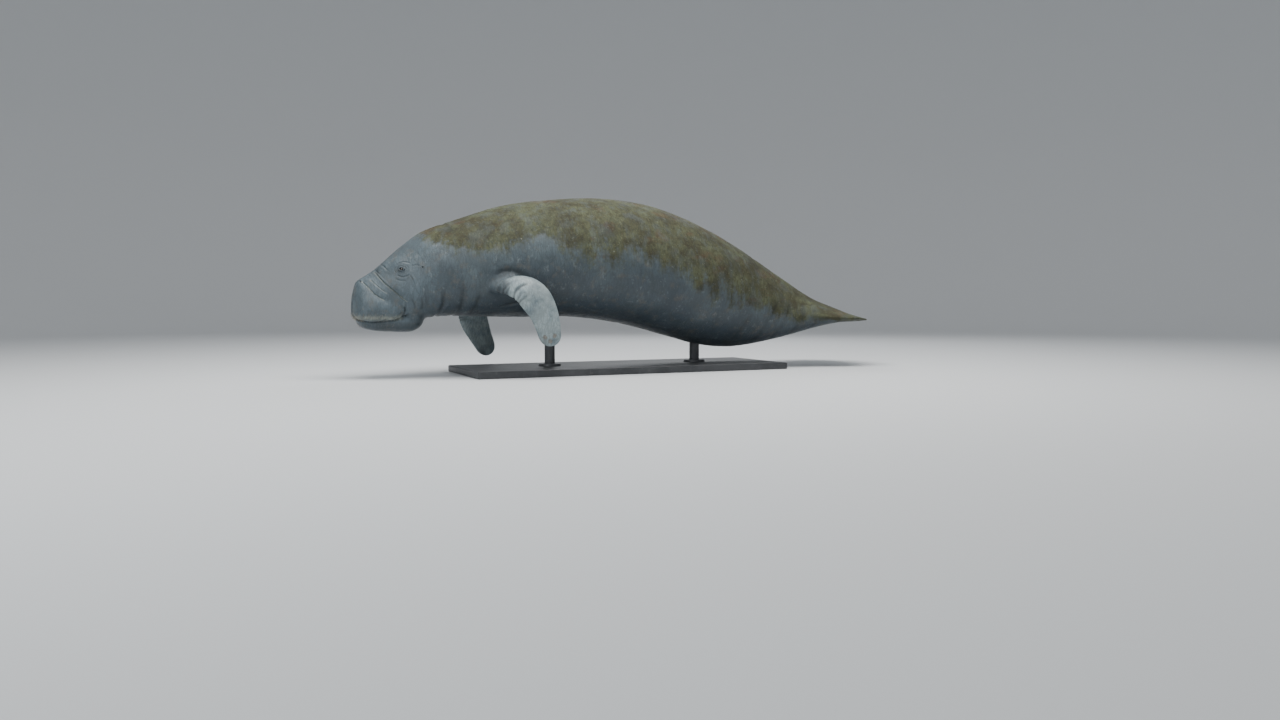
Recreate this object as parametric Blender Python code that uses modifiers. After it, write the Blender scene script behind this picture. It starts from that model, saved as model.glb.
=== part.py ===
"""A life-size West Indian manatee swimming with an arched back, on a low display stand.

Run it with: blender --background --python part.py
Metres, +Z up. The head points to -X, the floor is Z = 0, and X = Y = 0 is the middle of the stand's base.
"""

import math

import bmesh
import bpy
import numpy as np
from mathutils import Matrix, Vector
from mathutils.bvhtree import BVHTree

# Touching solids keep this gap, and points that a cut leaves closer than this become one
GAP = 0.0003
MERGE = 0.00003

# The snout's tip lies this far ahead of the middle of the base
SNOUT_X = -1.45

# Each body section is one slanted slice: how far behind the snout and how high its top and its bottom
# are, its half width, how far up it is widest, the powers of its upper and lower curve (2 is an ellipse,
# more is squarer, less is sharper) and the half thickness that its side edges keep.
BODY_SECTIONS = {
    "snout": ((0.000, 0.475), (0.000, 0.282), 0.104, 0.34, 2.1, 2.9, 0.0),
    "lips": ((0.085, 0.522), (0.095, 0.284), 0.118, 0.34, 2.0, 3.0, 0.0),
    "bridge": ((0.150, 0.575), (0.175, 0.286), 0.130, 0.37, 2.0, 2.8, 0.0),
    "eyes": ((0.215, 0.635), (0.250, 0.290), 0.150, 0.41, 2.0, 2.5, 0.0),
    "cheeks": ((0.280, 0.688), (0.330, 0.296), 0.178, 0.44, 2.0, 2.3, 0.0),
    "nape": ((0.345, 0.733), (0.405, 0.306), 0.208, 0.46, 2.1, 2.2, 0.0),
    "neck": ((0.420, 0.764), (0.485, 0.310), 0.238, 0.46, 2.1, 2.2, 0.0),
    "collar": ((0.500, 0.790), (0.570, 0.309), 0.264, 0.46, 2.1, 2.2, 0.0),
    "shoulder": ((0.710, 0.864), (0.780, 0.303), 0.304, 0.45, 2.1, 2.1, 0.0),
    "chest": ((1.030, 0.921), (1.080, 0.303), 0.338, 0.45, 2.0, 2.1, 0.0),
    "middle": ((1.360, 0.940), (1.330, 0.282), 0.354, 0.45, 2.0, 2.1, 0.0),
    "belly": ((1.720, 0.880), (1.600, 0.224), 0.346, 0.45, 2.0, 2.1, 0.0),
    "loin": ((2.050, 0.752), (1.840, 0.158), 0.304, 0.46, 2.0, 2.1, 0.0),
    "hip": ((2.290, 0.630), (2.070, 0.122), 0.252, 0.47, 1.9, 2.0, 0.0),
    "stock": ((2.430, 0.548), (2.260, 0.132), 0.226, 0.47, 1.8, 2.0, 0.002),
    "stock_end": ((2.540, 0.482), (2.410, 0.158), 0.236, 0.46, 1.7, 1.9, 0.004),
    "paddle_root": ((2.640, 0.423), (2.560, 0.192), 0.282, 0.46, 1.5, 1.7, 0.007),
    "paddle": ((2.750, 0.365), (2.710, 0.229), 0.324, 0.45, 1.4, 1.5, 0.008),
    "paddle_wide": ((2.870, 0.314), (2.850, 0.252), 0.336, 0.45, 1.4, 1.5, 0.008),
    "paddle_end": ((3.020, 0.278), (3.020, 0.258), 0.336, 0.45, 1.4, 1.5, 0.008),
}
SNOUT_ROUNDING = (0.080, 3.0)
PADDLE_ROUNDING = (0.290, 2.2)

# The lower jaw, a scoop under the lip pads
JAW_SECTIONS = {
    "lip": ((0.016, 0.345), (0.016, 0.258), 0.066, 0.50, 2.2, 2.4, 0.0),
    "chin": ((0.090, 0.352), (0.090, 0.240), 0.084, 0.50, 2.2, 2.3, 0.0),
    "jaw": ((0.170, 0.356), (0.170, 0.232), 0.098, 0.50, 2.2, 2.2, 0.0),
    "jaw_angle": ((0.270, 0.362), (0.270, 0.230), 0.112, 0.50, 2.2, 2.2, 0.0),
    "throat": ((0.352, 0.370), (0.352, 0.236), 0.122, 0.50, 2.2, 2.2, 0.0),
}
JAW_FRONT_ROUNDING = (0.050, 2.4)
JAW_BACK_ROUNDING = (0.085, 2.0)

# Where the head's soft forms swell or fold, on both sides: distance behind the snout, half width, height,
# then a swell's radius and height or a fold's half width and depth. They fade away behind the cheeks.
SWELLS = {
    "lip_pad": ((0.095, 0.106, 0.335), 0.068, 0.018),
    "lip_corner": ((0.180, 0.118, 0.318), 0.046, 0.016),
    "cheek": ((0.310, 0.170, 0.400), 0.080, 0.010),
    "brow": ((0.205, 0.110, 0.570), 0.040, 0.007),
    "eye_mound": ((0.218, 0.150, 0.541), 0.034, 0.005),
    "nostril_mound": ((0.030, 0.042, 0.474), 0.030, 0.007),
}
FOLDS = {
    "cheek_fold": (
        ((0.112, 0.030, 0.535), (0.150, 0.098, 0.462), (0.195, 0.130, 0.420), (0.245, 0.148, 0.372)),
        0.014,
        0.008,
    ),
    "muzzle_fold": (((0.040, 0.050, 0.485), (0.088, 0.104, 0.420), (0.140, 0.130, 0.384)), 0.013, 0.006),
    "pad_end": (((0.240, 0.140, 0.350), (0.232, 0.130, 0.318), (0.220, 0.115, 0.290)), 0.020, 0.010),
    "lip_cleft": (((-0.005, 0.000, 0.410), (-0.005, 0.000, 0.350), (0.000, 0.000, 0.286)), 0.016, 0.012),
}

FADE_FROM, FADE_TO = 0.300, 0.340

# How finely each piece is divided, and the angle from which an edge is sharp
HEAD_AROUND, HEAD_STEP, SNOUT_RINGS = 52, 0.0145, 7
JAW_AROUND, JAW_STEP, JAW_END_RINGS = 28, 0.026, 4
BODY_AROUND, BODY_STEP = 40, 0.080
PADDLE_STEP, PADDLE_RINGS = 0.050, 8
LAST_STEP = 0.030
RIM_POWER = 0.5
SHARP_ANGLE = math.radians(40)

# The eye shows as a small dark ball between thick lids
EYE_BEHIND_SNOUT, EYE_HEIGHT = 0.218, 0.541
EYE_RADIUS, EYE_SUNK = 0.0125, 0.0095
LID_RING, LID_THICK = 0.0140, 0.0050
LID_LONG, LID_HIGH, LID_FLAT = 1.16, 0.82, 0.8
LID_ROUNDS, LID_SIDES = 20, 8

# The nostrils and the pinhole ears
NOSTRIL_AT, NOSTRIL_HALF_SIZE = (0.024, 0.040, 0.478), (0.0145, 0.0070, 0.0090)
EAR_AT, EAR_HALF_SIZE = (0.325, 0.150, 0.545), (0.0055, 0.0045, 0.0070)

# The muzzle parts from the head along the cheek fold: two points of that line from the side
MUZZLE_LINE = ((0.142, 0.560), (0.255, 0.290))

# Flippers, root to tip: centre, the way the broad face looks, the breadth and the thickness
LEFT_FLIPPER = {
    "root": ((-0.800, -0.190, 0.462), (0.00, -0.80, 0.60), 0.110, 0.074),
    "shoulder": ((-0.774, -0.275, 0.463), (0.10, -0.80, 0.60), 0.114, 0.070),
    "upper_arm": ((-0.731, -0.338, 0.460), (0.05, -0.85, 0.53), 0.128, 0.064),
    "elbow_in": ((-0.687, -0.375, 0.445), (0.00, -0.90, 0.42), 0.152, 0.060),
    "elbow": ((-0.643, -0.397, 0.404), (-0.05, -0.95, 0.30), 0.163, 0.056),
    "forearm": ((-0.604, -0.405, 0.343), (-0.15, -0.98, 0.18), 0.146, 0.050),
    "wrist": ((-0.579, -0.403, 0.276), (-0.30, -0.95, 0.10), 0.127, 0.042),
    "hand": ((-0.560, -0.394, 0.208), (-0.36, -0.93, 0.04), 0.112, 0.032),
    "tip": ((-0.552, -0.385, 0.160), (-0.38, -0.92, 0.00), 0.100, 0.022),
}
RIGHT_FLIPPER = {
    "root": ((-0.800, 0.180, 0.440), (0.00, 0.90, 0.40), 0.124, 0.074),
    "shoulder": ((-0.789, 0.262, 0.402), (0.00, 0.90, 0.44), 0.138, 0.070),
    "upper_arm": ((-0.770, 0.312, 0.348), (0.00, 0.93, 0.36), 0.150, 0.062),
    "elbow": ((-0.743, 0.338, 0.284), (0.00, 0.96, 0.26), 0.156, 0.056),
    "forearm": ((-0.715, 0.348, 0.222), (-0.06, 0.98, 0.16), 0.142, 0.048),
    "wrist": ((-0.688, 0.350, 0.164), (-0.12, 0.98, 0.06), 0.126, 0.040),
    "hand": ((-0.666, 0.348, 0.112), (-0.16, 0.98, 0.00), 0.112, 0.030),
    "tip": ((-0.657, 0.346, 0.082), (-0.16, 0.98, 0.00), 0.100, 0.022),
}
FLIPPER_ROUNDING = (0.060, 2.2)
FLIPPER_POWER, FLIPPER_RIM = 1.7, 0.005
FLIPPER_AROUND, FLIPPER_STEP, FLIPPER_TIP_RINGS = 20, 0.036, 4
FLIPPER_LAST_STEP, NEIGHBOUR = 0.012, 0.002
HAND_SHARE = 0.60

# Three nails lie on the outer face of each flipper, near its tip
NAIL_PLACES = ((-0.42, 0.900), (0.00, 0.945), (0.42, 0.900))
NAIL_HALF_SIZE = (0.0110, 0.0095, 0.0042)

# The display stand
BASE_LENGTH, BASE_WIDTH, BASE_THICK, BASE_EDGE = 1.80, 0.60, 0.036, 0.006
ROD_RADIUS, ROD_COLLAR_RADIUS, ROD_COLLAR_TOP_RADIUS, ROD_COLLAR_THICK = 0.028, 0.062, 0.05704, 0.012
ROD_UNCUT_LENGTH = 0.40
ROD_PLACES = {"front": -0.42, "rear": 0.46}
ROD_SIDES = 28

# The edge of the cube that parts a piece
CUTTER_SIZE = 4.0


def spline(knots, values):
    """A smooth curve through the values at the knots, as a function: a natural cubic spline."""
    knots = np.asarray(knots, float)
    values = np.asarray(values, float)
    if values.ndim == 1:
        values = values[:, None]
    step = np.diff(knots)
    slope = np.diff(values, axis=0) / step[:, None]
    count = len(knots)
    system = np.eye(count)
    wanted = np.zeros_like(values)
    for i in range(1, count - 1):
        system[i, i - 1 : i + 2] = step[i - 1], 2 * (step[i - 1] + step[i]), step[i]
        wanted[i] = 6 * (slope[i] - slope[i - 1])
    bend = np.linalg.solve(system, wanted)

    def at(t):
        i = int(np.clip(np.searchsorted(knots, t) - 1, 0, count - 2))
        h = step[i]
        u, v = (knots[i + 1] - t) / h, (t - knots[i]) / h
        curve = u * values[i] + v * values[i + 1]
        return curve + ((u**3 - u) * bend[i] + (v**3 - v) * bend[i + 1]) * h * h / 6

    return at


def signed_power(value, power):
    return math.copysign(abs(value) ** power, value)


def rounding(distance_to_end, shape):
    """How much a blunt end has closed in, from 0 at the end to 1 where it is full."""
    depth, power = shape
    if distance_to_end >= depth:
        return 1.0
    return float(max(0.0, 1 - (1 - distance_to_end / depth) ** power) ** (1 / power))


def end_steps(count, shape):
    """Distances from a blunt end at which its rings are evenly spread over its curve, nearest first."""
    depth, power = shape
    turns = [math.pi / 2 * (i + 1) / (count + 1) for i in range(count)]
    return [depth * (1 - math.cos(turn) ** (2 / power)) for turn in turns]


def even_steps(start, end, step):
    return list(np.linspace(start, end, max(2, round((end - start) / step) + 1)))


class Sections:
    """A row of named sections with a smooth body through them."""

    def __init__(self, table, front=None, back=None):
        self.front, self.back = front, back
        rows = list(table.values())
        tops = np.array([row[0] for row in rows]) + (SNOUT_X, 0)
        bottoms = np.array([row[1] for row in rows]) + (SNOUT_X, 0)
        centres = (tops + bottoms) / 2
        lengths = np.linalg.norm(np.diff(centres, axis=0), axis=1)
        self.places = dict(zip(table, np.concatenate([[0], np.cumsum(lengths)])))
        self.length = float(sum(lengths))
        shape = np.array([row[2:] for row in rows])
        self.at = spline(list(self.places.values()), np.hstack([tops, bottoms, shape]))

    def ring(self, place, around):
        """The points round one section."""
        top_x, top_z, low_x, low_z, width, widest, top_power, low_power, rim = self.at(place)
        closing = 1.0
        if self.front:
            closing *= rounding(place, self.front)
        if self.back:
            closing *= rounding(self.length - place, self.back)
        top, low = Vector((top_x, 0, top_z)), Vector((low_x, 0, low_z))
        centre = low.lerp(top, widest)
        points = []
        for i in range(around):
            turn = 2 * math.pi * i / around
            rise, side = math.sin(turn), math.cos(turn)
            reach, power = (top - centre, top_power) if rise >= 0 else (centre - low, low_power)
            tall = reach.length
            edge = min(rim, tall)
            height = (tall - edge) * abs(rise) ** (2 / power) + edge * abs(rise) ** RIM_POWER
            across = width * signed_power(side, 2 / power)
            up = reach.normalized() * math.copysign(height, rise)
            points.append(centre + closing * (up + Vector((0, across, 0))))
        return points

    def pole(self, place):
        top_x, top_z, low_x, low_z, _, widest, *_ = self.at(place)
        return Vector((low_x, 0, low_z)).lerp(Vector((top_x, 0, top_z)), widest)


def lofted(rings, start=None, end=None):
    """A closed skin over rings of equal count. Its ends are single points, where given, or flat caps."""
    made = bmesh.new()
    rows = [[made.verts.new(point) for point in ring] for ring in rings]
    for row, following in zip(rows, rows[1:]):
        for i in range(len(row)):
            made.faces.new((row[i - 1], row[i], following[i], following[i - 1]))
    for row, point in ((rows[0], start), (rows[-1], end)):
        if point is None:
            made.faces.new(row)
            continue
        tip = made.verts.new(point)
        for i in range(len(row)):
            made.faces.new((row[i - 1], row[i], tip))
    bmesh.ops.recalc_face_normals(made, faces=made.faces)
    return made


def near_path(points, path):
    """Each point's distance from a path of straight stretches."""
    best = np.full(len(points), np.inf)
    for a, b in zip(path, path[1:]):
        a, b = np.array(a), np.array(b)
        along = np.clip(((points - a) @ (b - a)) / ((b - a) @ (b - a)), 0, 1)
        best = np.minimum(best, np.linalg.norm(points - (a + along[:, None] * (b - a)), axis=1))
    return best


def shape_face(made):
    """Pushes the head's lip pads, cheeks and brows out and its folds in, fading away towards the nape."""
    made.normal_update()
    points = np.array([v.co for v in made.verts])
    normals = np.array([v.normal for v in made.verts])
    measured = np.column_stack([points[:, 0] - SNOUT_X, np.abs(points[:, 1]), points[:, 2]])
    push = np.zeros(len(points))
    for centre, radius, height in SWELLS.values():
        away = np.linalg.norm(measured - np.array(centre), axis=1)
        push += height * np.exp(-((away / radius) ** 2))
    for path, width, depth in FOLDS.values():
        push -= depth * np.exp(-((near_path(measured, path) / width) ** 2))
    push *= np.clip((FADE_TO - measured[:, 0]) / (FADE_TO - FADE_FROM), 0, 1)
    for vertex, point, normal, amount in zip(made.verts, points, normals, push):
        vertex.co = point + normal * amount


def colour_of(name):
    """The colour, roughness and metallic value of each finish."""
    return {
        "hide": ((0.20, 0.19, 0.16), 0.65, 0.0),
        "face": ((0.27, 0.28, 0.28), 0.60, 0.0),
        "flipper": ((0.34, 0.36, 0.37), 0.55, 0.0),
        "eye": ((0.02, 0.018, 0.015), 0.10, 0.0),
        "nail": ((0.45, 0.42, 0.36), 0.40, 0.0),
        "stand": ((0.09, 0.09, 0.095), 0.45, 0.6),
    }[name]


def material(name):
    found = bpy.data.materials.get(name)
    if found:
        return found
    found = bpy.data.materials.new(name)
    found.use_nodes = True
    shader = found.node_tree.nodes["Principled BSDF"]
    colour, rough, metal = colour_of(name)
    shader.inputs["Base Color"].default_value = (*colour, 1)
    shader.inputs["Roughness"].default_value = rough
    shader.inputs["Metallic"].default_value = metal
    return found


def collection(name):
    made = bpy.data.collections.new(name)
    bpy.context.scene.collection.children.link(made)
    return made


def add_object(name, made, finish, into):
    """A bmesh as a smooth-shaded object of one finish, in triangles so that every face is flat."""
    bmesh.ops.triangulate(made, faces=made.faces)
    mesh = bpy.data.meshes.new(name)
    made.to_mesh(mesh)
    made.free()
    mesh.shade_smooth()
    mesh.set_sharp_from_angle(angle=SHARP_ANGLE)
    mesh.materials.append(material(finish))
    thing = bpy.data.objects.new(name, mesh)
    into.objects.link(thing)
    return thing


def bare_copy(thing, name):
    copy = bpy.data.objects.new(name, thing.data.copy())
    copy.matrix_world = thing.matrix_world.copy()
    thing.users_collection[0].objects.link(copy)
    return copy


def remove(thing):
    bpy.data.objects.remove(thing)


def combine(thing, others, operation):
    """Cuts or joins the others into thing, applies it and removes them."""
    group = collection("working_group")
    for other in others:
        for holder in list(other.users_collection):
            holder.objects.unlink(other)
        group.objects.link(other)
    modifier = thing.modifiers.new("combine", "BOOLEAN")
    modifier.operation = operation
    modifier.solver = "EXACT"
    modifier.operand_type = "COLLECTION"
    modifier.collection = group
    bpy.context.view_layer.update()
    graph = bpy.context.evaluated_depsgraph_get()
    mesh = bpy.data.meshes.new_from_object(thing.evaluated_get(graph))
    thing.modifiers.clear()
    thing.data = mesh
    for other in others:
        remove(other)
    bpy.data.collections.remove(group)
    keep_largest(thing)


def keep_largest(thing):
    """Leaves only the closed surface with the most points."""
    made = bmesh.new()
    made.from_mesh(thing.data)
    bmesh.ops.remove_doubles(made, verts=made.verts, dist=MERGE)
    bmesh.ops.dissolve_degenerate(made, edges=made.edges, dist=MERGE)
    left = set(made.verts)
    islands = []
    while left:
        seed = left.pop()
        island, edge_of = {seed}, [seed]
        while edge_of:
            for edge in edge_of.pop().link_edges:
                for vertex in edge.verts:
                    if vertex in left:
                        left.discard(vertex)
                        island.add(vertex)
                        edge_of.append(vertex)
        islands.append(island)
    islands.sort(key=len)
    for island in islands[:-1]:
        bmesh.ops.delete(made, geom=list(island), context="VERTS")
    made.to_mesh(thing.data)
    made.free()


def grown(thing, name, amount=GAP):
    """A copy whose skin stands out by the amount, for cutting room for the piece itself."""
    copy = bare_copy(thing, name)
    made = bmesh.new()
    made.from_mesh(copy.data)
    made.normal_update()
    moves = [vertex.normal * amount for vertex in made.verts]
    for vertex, move in zip(made.verts, moves):
        vertex.co += move
    made.to_mesh(copy.data)
    made.free()
    return copy


def half_space(point, normal, into):
    """A large box that fills the side of a plane that its normal points to."""
    made = bmesh.new()
    bmesh.ops.create_cube(made, size=CUTTER_SIZE)
    turn = Vector(normal).to_track_quat("Z", "Y").to_matrix().to_4x4()
    shift = Matrix.Translation(Vector(point) + Vector(normal).normalized() * CUTTER_SIZE / 2)
    bmesh.ops.transform(made, matrix=shift @ turn, verts=made.verts)
    return add_object("half_space", made, "hide", into)


def split(thing, point, normal, front_name, into):
    """Parts thing along a plane, leaving GAP between. The side that the normal points to keeps its name."""
    normal = Vector(normal).normalized()
    front = bare_copy(thing, front_name)
    combine(front, [half_space(Vector(point) - normal * GAP / 2, normal, into)], "DIFFERENCE")
    combine(thing, [half_space(Vector(point) + normal * GAP / 2, -normal, into)], "DIFFERENCE")
    return front


def on_skin(tree, place, side):
    """Where a line from the given side meets the skin at this distance and height, with the normal there."""
    behind, _, height = place
    start = Vector((SNOUT_X + behind, side * 1.0, height))
    point, normal, _, _ = tree.ray_cast(start, Vector((0, -side, 0)))
    return point, normal


def nearest_on_skin(tree, place, side):
    behind, across, height = place
    point, normal, _, _ = tree.find_nearest(Vector((SNOUT_X + behind, side * across, height)))
    return point, normal


def ball(name, point, normal, half_size, finish, into, sides=16):
    """An ellipsoid whose third half size lies along the normal and whose first lies level."""
    made = bmesh.new()
    bmesh.ops.create_uvsphere(made, u_segments=sides, v_segments=sides // 2, radius=1)
    up = Vector((0, 0, 1))
    level = up.cross(normal).normalized()
    other = Vector(normal).cross(level)
    frame = Matrix((level * half_size[0], other * half_size[1], Vector(normal) * half_size[2])).transposed()
    bmesh.ops.transform(made, matrix=Matrix.Translation(point) @ frame.to_4x4(), verts=made.verts)
    return add_object(name, made, finish, into)


def lid_ring(point, normal, into):
    """The thick rim of both eyelids, an almond-shaped ring that lies on the skin."""
    made = bmesh.new()
    rows = []
    for i in range(LID_ROUNDS):
        turn = 2 * math.pi * i / LID_ROUNDS
        out = Vector((LID_LONG * math.cos(turn), LID_HIGH * math.sin(turn), 0))
        row = []
        for k in range(LID_SIDES):
            round_it = 2 * math.pi * k / LID_SIDES
            rise = Vector((0, 0, LID_FLAT * LID_THICK * math.sin(round_it)))
            row.append(made.verts.new(out * (LID_RING + LID_THICK * math.cos(round_it)) + rise))
        rows.append(row)
    for i in range(LID_ROUNDS):
        for k in range(LID_SIDES):
            made.faces.new((rows[i - 1][k - 1], rows[i][k - 1], rows[i][k], rows[i - 1][k]))
    bmesh.ops.recalc_face_normals(made, faces=made.faces)
    level = Vector((0, 0, 1)).cross(normal).normalized()
    frame = Matrix((level, Vector(normal).cross(level), Vector(normal))).transposed()
    bmesh.ops.transform(made, matrix=Matrix.Translation(point) @ frame.to_4x4(), verts=made.verts)
    return add_object("lid_ring", made, "face", into)


def make_head(body, into):
    """The head with its muzzle, lids, nostrils and ear pits, the lower jaw and both eyes."""
    nape = body.places["nape"]
    first = SNOUT_ROUNDING[0]
    places = end_steps(SNOUT_RINGS, SNOUT_ROUNDING) + even_steps(first, nape - GAP / 2, HEAD_STEP)
    made = lofted([body.ring(place, HEAD_AROUND) for place in places], start=body.pole(0))
    shape_face(made)
    head = add_object("head", made, "face", into)
    tree = BVHTree.FromObject(head, bpy.context.evaluated_depsgraph_get())

    lids, eyes, hollows = [], [], []
    for side_name, side in (("left", -1), ("right", 1)):
        point, normal = on_skin(tree, (EYE_BEHIND_SNOUT, 0, EYE_HEIGHT), side)
        lids.append(lid_ring(point, normal, into))
        half = (EYE_RADIUS,) * 3
        eyes.append(ball(f"eye_{side_name}", point - normal * EYE_SUNK, normal, half, "eye", into))
        room = tuple(size + GAP for size in half)
        hollows.append(ball("eye_room", point - normal * EYE_SUNK, normal, room, "eye", into))
        point, normal = nearest_on_skin(tree, NOSTRIL_AT, side)
        hollows.append(ball("nostril", point, normal, NOSTRIL_HALF_SIZE, "face", into, sides=12))
        point, normal = nearest_on_skin(tree, EAR_AT, side)
        hollows.append(ball("ear_pit", point, normal, EAR_HALF_SIZE, "face", into, sides=8))
    combine(head, lids, "UNION")
    combine(head, hollows, "DIFFERENCE")

    jaw_form = Sections(JAW_SECTIONS, JAW_FRONT_ROUNDING, JAW_BACK_ROUNDING)
    back = jaw_form.length - np.array(end_steps(JAW_END_RINGS, JAW_BACK_ROUNDING))[::-1]
    middle = even_steps(JAW_FRONT_ROUNDING[0], back[0] - JAW_STEP, JAW_STEP)
    places = end_steps(JAW_END_RINGS, JAW_FRONT_ROUNDING) + middle + list(back)
    rings = [jaw_form.ring(place, JAW_AROUND) for place in places]
    made = lofted(rings, jaw_form.pole(0), jaw_form.pole(jaw_form.length))
    jaw = add_object("lower_jaw", made, "face", into)
    combine(head, [grown(jaw, "jaw_room")], "DIFFERENCE")

    (high_behind, high), (low_behind, low) = MUZZLE_LINE
    normal = Vector((high - low, 0, low_behind - high_behind))
    split(head, (SNOUT_X + low_behind, 0, low), normal, "muzzle", into)
    return head


def make_trunk(body, into):
    """The neck, the two halves of the trunk, the tail stock and the tail paddle, slice by slice."""
    lengths = {
        "neck": ("nape", "collar"),
        "chest": ("collar", "middle"),
        "belly": ("middle", "hip"),
        "tail_stock": ("hip", "stock_end"),
    }
    made = {}
    for name, (start, end) in lengths.items():
        places = even_steps(body.places[start] + GAP / 2, body.places[end] - GAP / 2, BODY_STEP)
        rings = [body.ring(place, BODY_AROUND) for place in places]
        made[name] = add_object(name, lofted(rings), "hide", into)
    ends = body.length - np.array(end_steps(PADDLE_RINGS, PADDLE_ROUNDING))[::-1]
    places = even_steps(body.places["stock_end"] + GAP / 2, ends[0] - LAST_STEP, PADDLE_STEP) + list(ends)
    rings = [body.ring(place, BODY_AROUND) for place in places]
    made["tail_paddle"] = add_object(
        "tail_paddle", lofted(rings, end=body.pole(body.length)), "hide", into
    )
    return made


class Flipper:
    """A flipper's centre line with its breadth, its thickness and the way its broad face looks."""

    def __init__(self, table):
        rows = list(table.values())
        centres = np.array([row[0] for row in rows])
        lengths = np.linalg.norm(np.diff(centres, axis=0), axis=1)
        self.places = dict(zip(table, np.concatenate([[0], np.cumsum(lengths)])))
        self.length = float(sum(lengths))
        faces = np.array([row[1] for row in rows])
        sizes = np.array([row[2:] for row in rows])
        self.at = spline(list(self.places.values()), np.hstack([centres, faces, sizes]))

    def frame(self, place):
        """Centre, breadth direction, face direction, breadth and thickness at a place."""
        here = self.at(place)
        ahead, behind = self.at(place + NEIGHBOUR), self.at(place - NEIGHBOUR)
        along = Vector(ahead[:3] - behind[:3]).normalized()
        face = Vector(here[3:6])
        face = (face - along * face.dot(along)).normalized()
        return Vector(here[:3]), along.cross(face), face, here[6], here[7]

    def spot(self, across, out, place):
        """A point at a share of the half breadth and of the half thickness."""
        centre, breadth, face, wide, thick = self.frame(place)
        closing = rounding(self.length - place, FLIPPER_ROUNDING)
        share = max(0.0, 1 - abs(across) ** FLIPPER_POWER) ** (1 / FLIPPER_POWER)
        point = centre + breadth * (across * closing * wide / 2)
        return point + face * (out * closing * share * thick / 2), face

    def ring(self, place):
        centre, breadth, face, wide, thick = self.frame(place)
        closing = rounding(self.length - place, FLIPPER_ROUNDING)
        points = []
        for i in range(FLIPPER_AROUND):
            turn = 2 * math.pi * i / FLIPPER_AROUND
            rise, side = math.sin(turn), math.cos(turn)
            high = (thick / 2 - FLIPPER_RIM) * abs(rise) ** (2 / FLIPPER_POWER)
            high += FLIPPER_RIM * abs(rise) ** RIM_POWER
            across = wide / 2 * signed_power(side, 2 / FLIPPER_POWER)
            points.append(centre + closing * (breadth * across + face * math.copysign(high, rise)))
        return points


def make_flipper(side_name, table, trunk, into):
    """An upper arm that meets the chest, a hand, and three nails set into its outer face."""
    form = Flipper(table)
    ends = form.length - np.array(end_steps(FLIPPER_TIP_RINGS, FLIPPER_ROUNDING))[::-1]
    middle = even_steps(0, ends[0] - FLIPPER_LAST_STEP, FLIPPER_STEP)
    rings = [form.ring(place) for place in middle + list(ends)]
    tip = form.frame(form.length)[0]
    hand = add_object(f"flipper_{side_name}_hand", lofted(rings, end=tip), "flipper", into)
    combine(hand, [grown(trunk["chest"], "chest_room"), grown(trunk["neck"], "neck_room")], "DIFFERENCE")

    parting = form.length * HAND_SHARE
    centre = form.frame(parting)[0]
    along = Vector(form.at(parting + NEIGHBOUR)[:3] - form.at(parting - NEIGHBOUR)[:3])
    split(hand, centre, along, f"flipper_{side_name}_arm", into)

    for number, (across, share) in enumerate(NAIL_PLACES, start=1):
        point, face = form.spot(across, 1.0, form.length * share)
        name = f"nail_{side_name}_{number}"
        nail = ball(name, point, face, NAIL_HALF_SIZE, "nail", into, sides=8)
        combine(hand, [grown(nail, "nail_room")], "DIFFERENCE")


def make_stand(trunk, into):
    """A flat base and two short rods, each on a round collar, up to the underside of the body."""
    made = bmesh.new()
    bmesh.ops.create_cube(made, size=1)
    size = Matrix.Diagonal((BASE_LENGTH, BASE_WIDTH, BASE_THICK, 1))
    bmesh.ops.transform(made, matrix=Matrix.Translation((0, 0, BASE_THICK / 2)) @ size, verts=made.verts)
    base = add_object("stand_base", made, "stand", into)
    edge = base.modifiers.new("eased_edges", "BEVEL")
    edge.width = BASE_EDGE
    edge.segments = 2
    edge.limit_method = "ANGLE"

    for place_name, x in ROD_PLACES.items():
        foot = BASE_THICK + GAP
        rod = bmesh.new()
        bmesh.ops.create_cone(
            rod,
            cap_ends=True,
            segments=ROD_SIDES,
            radius1=ROD_RADIUS,
            radius2=ROD_RADIUS,
            depth=ROD_UNCUT_LENGTH,
        )
        bmesh.ops.translate(rod, verts=rod.verts, vec=(x, 0, foot + GAP + ROD_UNCUT_LENGTH / 2))
        rod = add_object(f"stand_rod_{place_name}", rod, "stand", into)
        collar = bmesh.new()
        bmesh.ops.create_cone(
            collar,
            cap_ends=True,
            segments=ROD_SIDES,
            radius1=ROD_COLLAR_RADIUS,
            radius2=ROD_COLLAR_TOP_RADIUS,
            depth=ROD_COLLAR_THICK,
        )
        bmesh.ops.translate(collar, verts=collar.verts, vec=(x, 0, foot + GAP + ROD_COLLAR_THICK / 2))
        combine(rod, [add_object("collar", collar, "stand", into)], "UNION")
        combine(rod, [bare_copy(trunk[name], "under_room") for name in ("chest", "belly")], "DIFFERENCE")
        rod.data.transform(Matrix.Translation((0, 0, -GAP)))


def clear_scene():
    for thing in list(bpy.data.objects):
        bpy.data.objects.remove(thing)


def build():
    clear_scene()
    into = collection("manatee")
    body = Sections(BODY_SECTIONS, SNOUT_ROUNDING, PADDLE_ROUNDING)
    make_head(body, into)
    trunk = make_trunk(body, into)
    make_flipper("left", LEFT_FLIPPER, trunk, into)
    make_flipper("right", RIGHT_FLIPPER, trunk, into)
    make_stand(trunk, into)


build()
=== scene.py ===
import math

import bmesh
import bpy
import numpy as np
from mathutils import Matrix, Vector, noise
from mathutils.bvhtree import BVHTree
from mathutils.kdtree import KDTree


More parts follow.
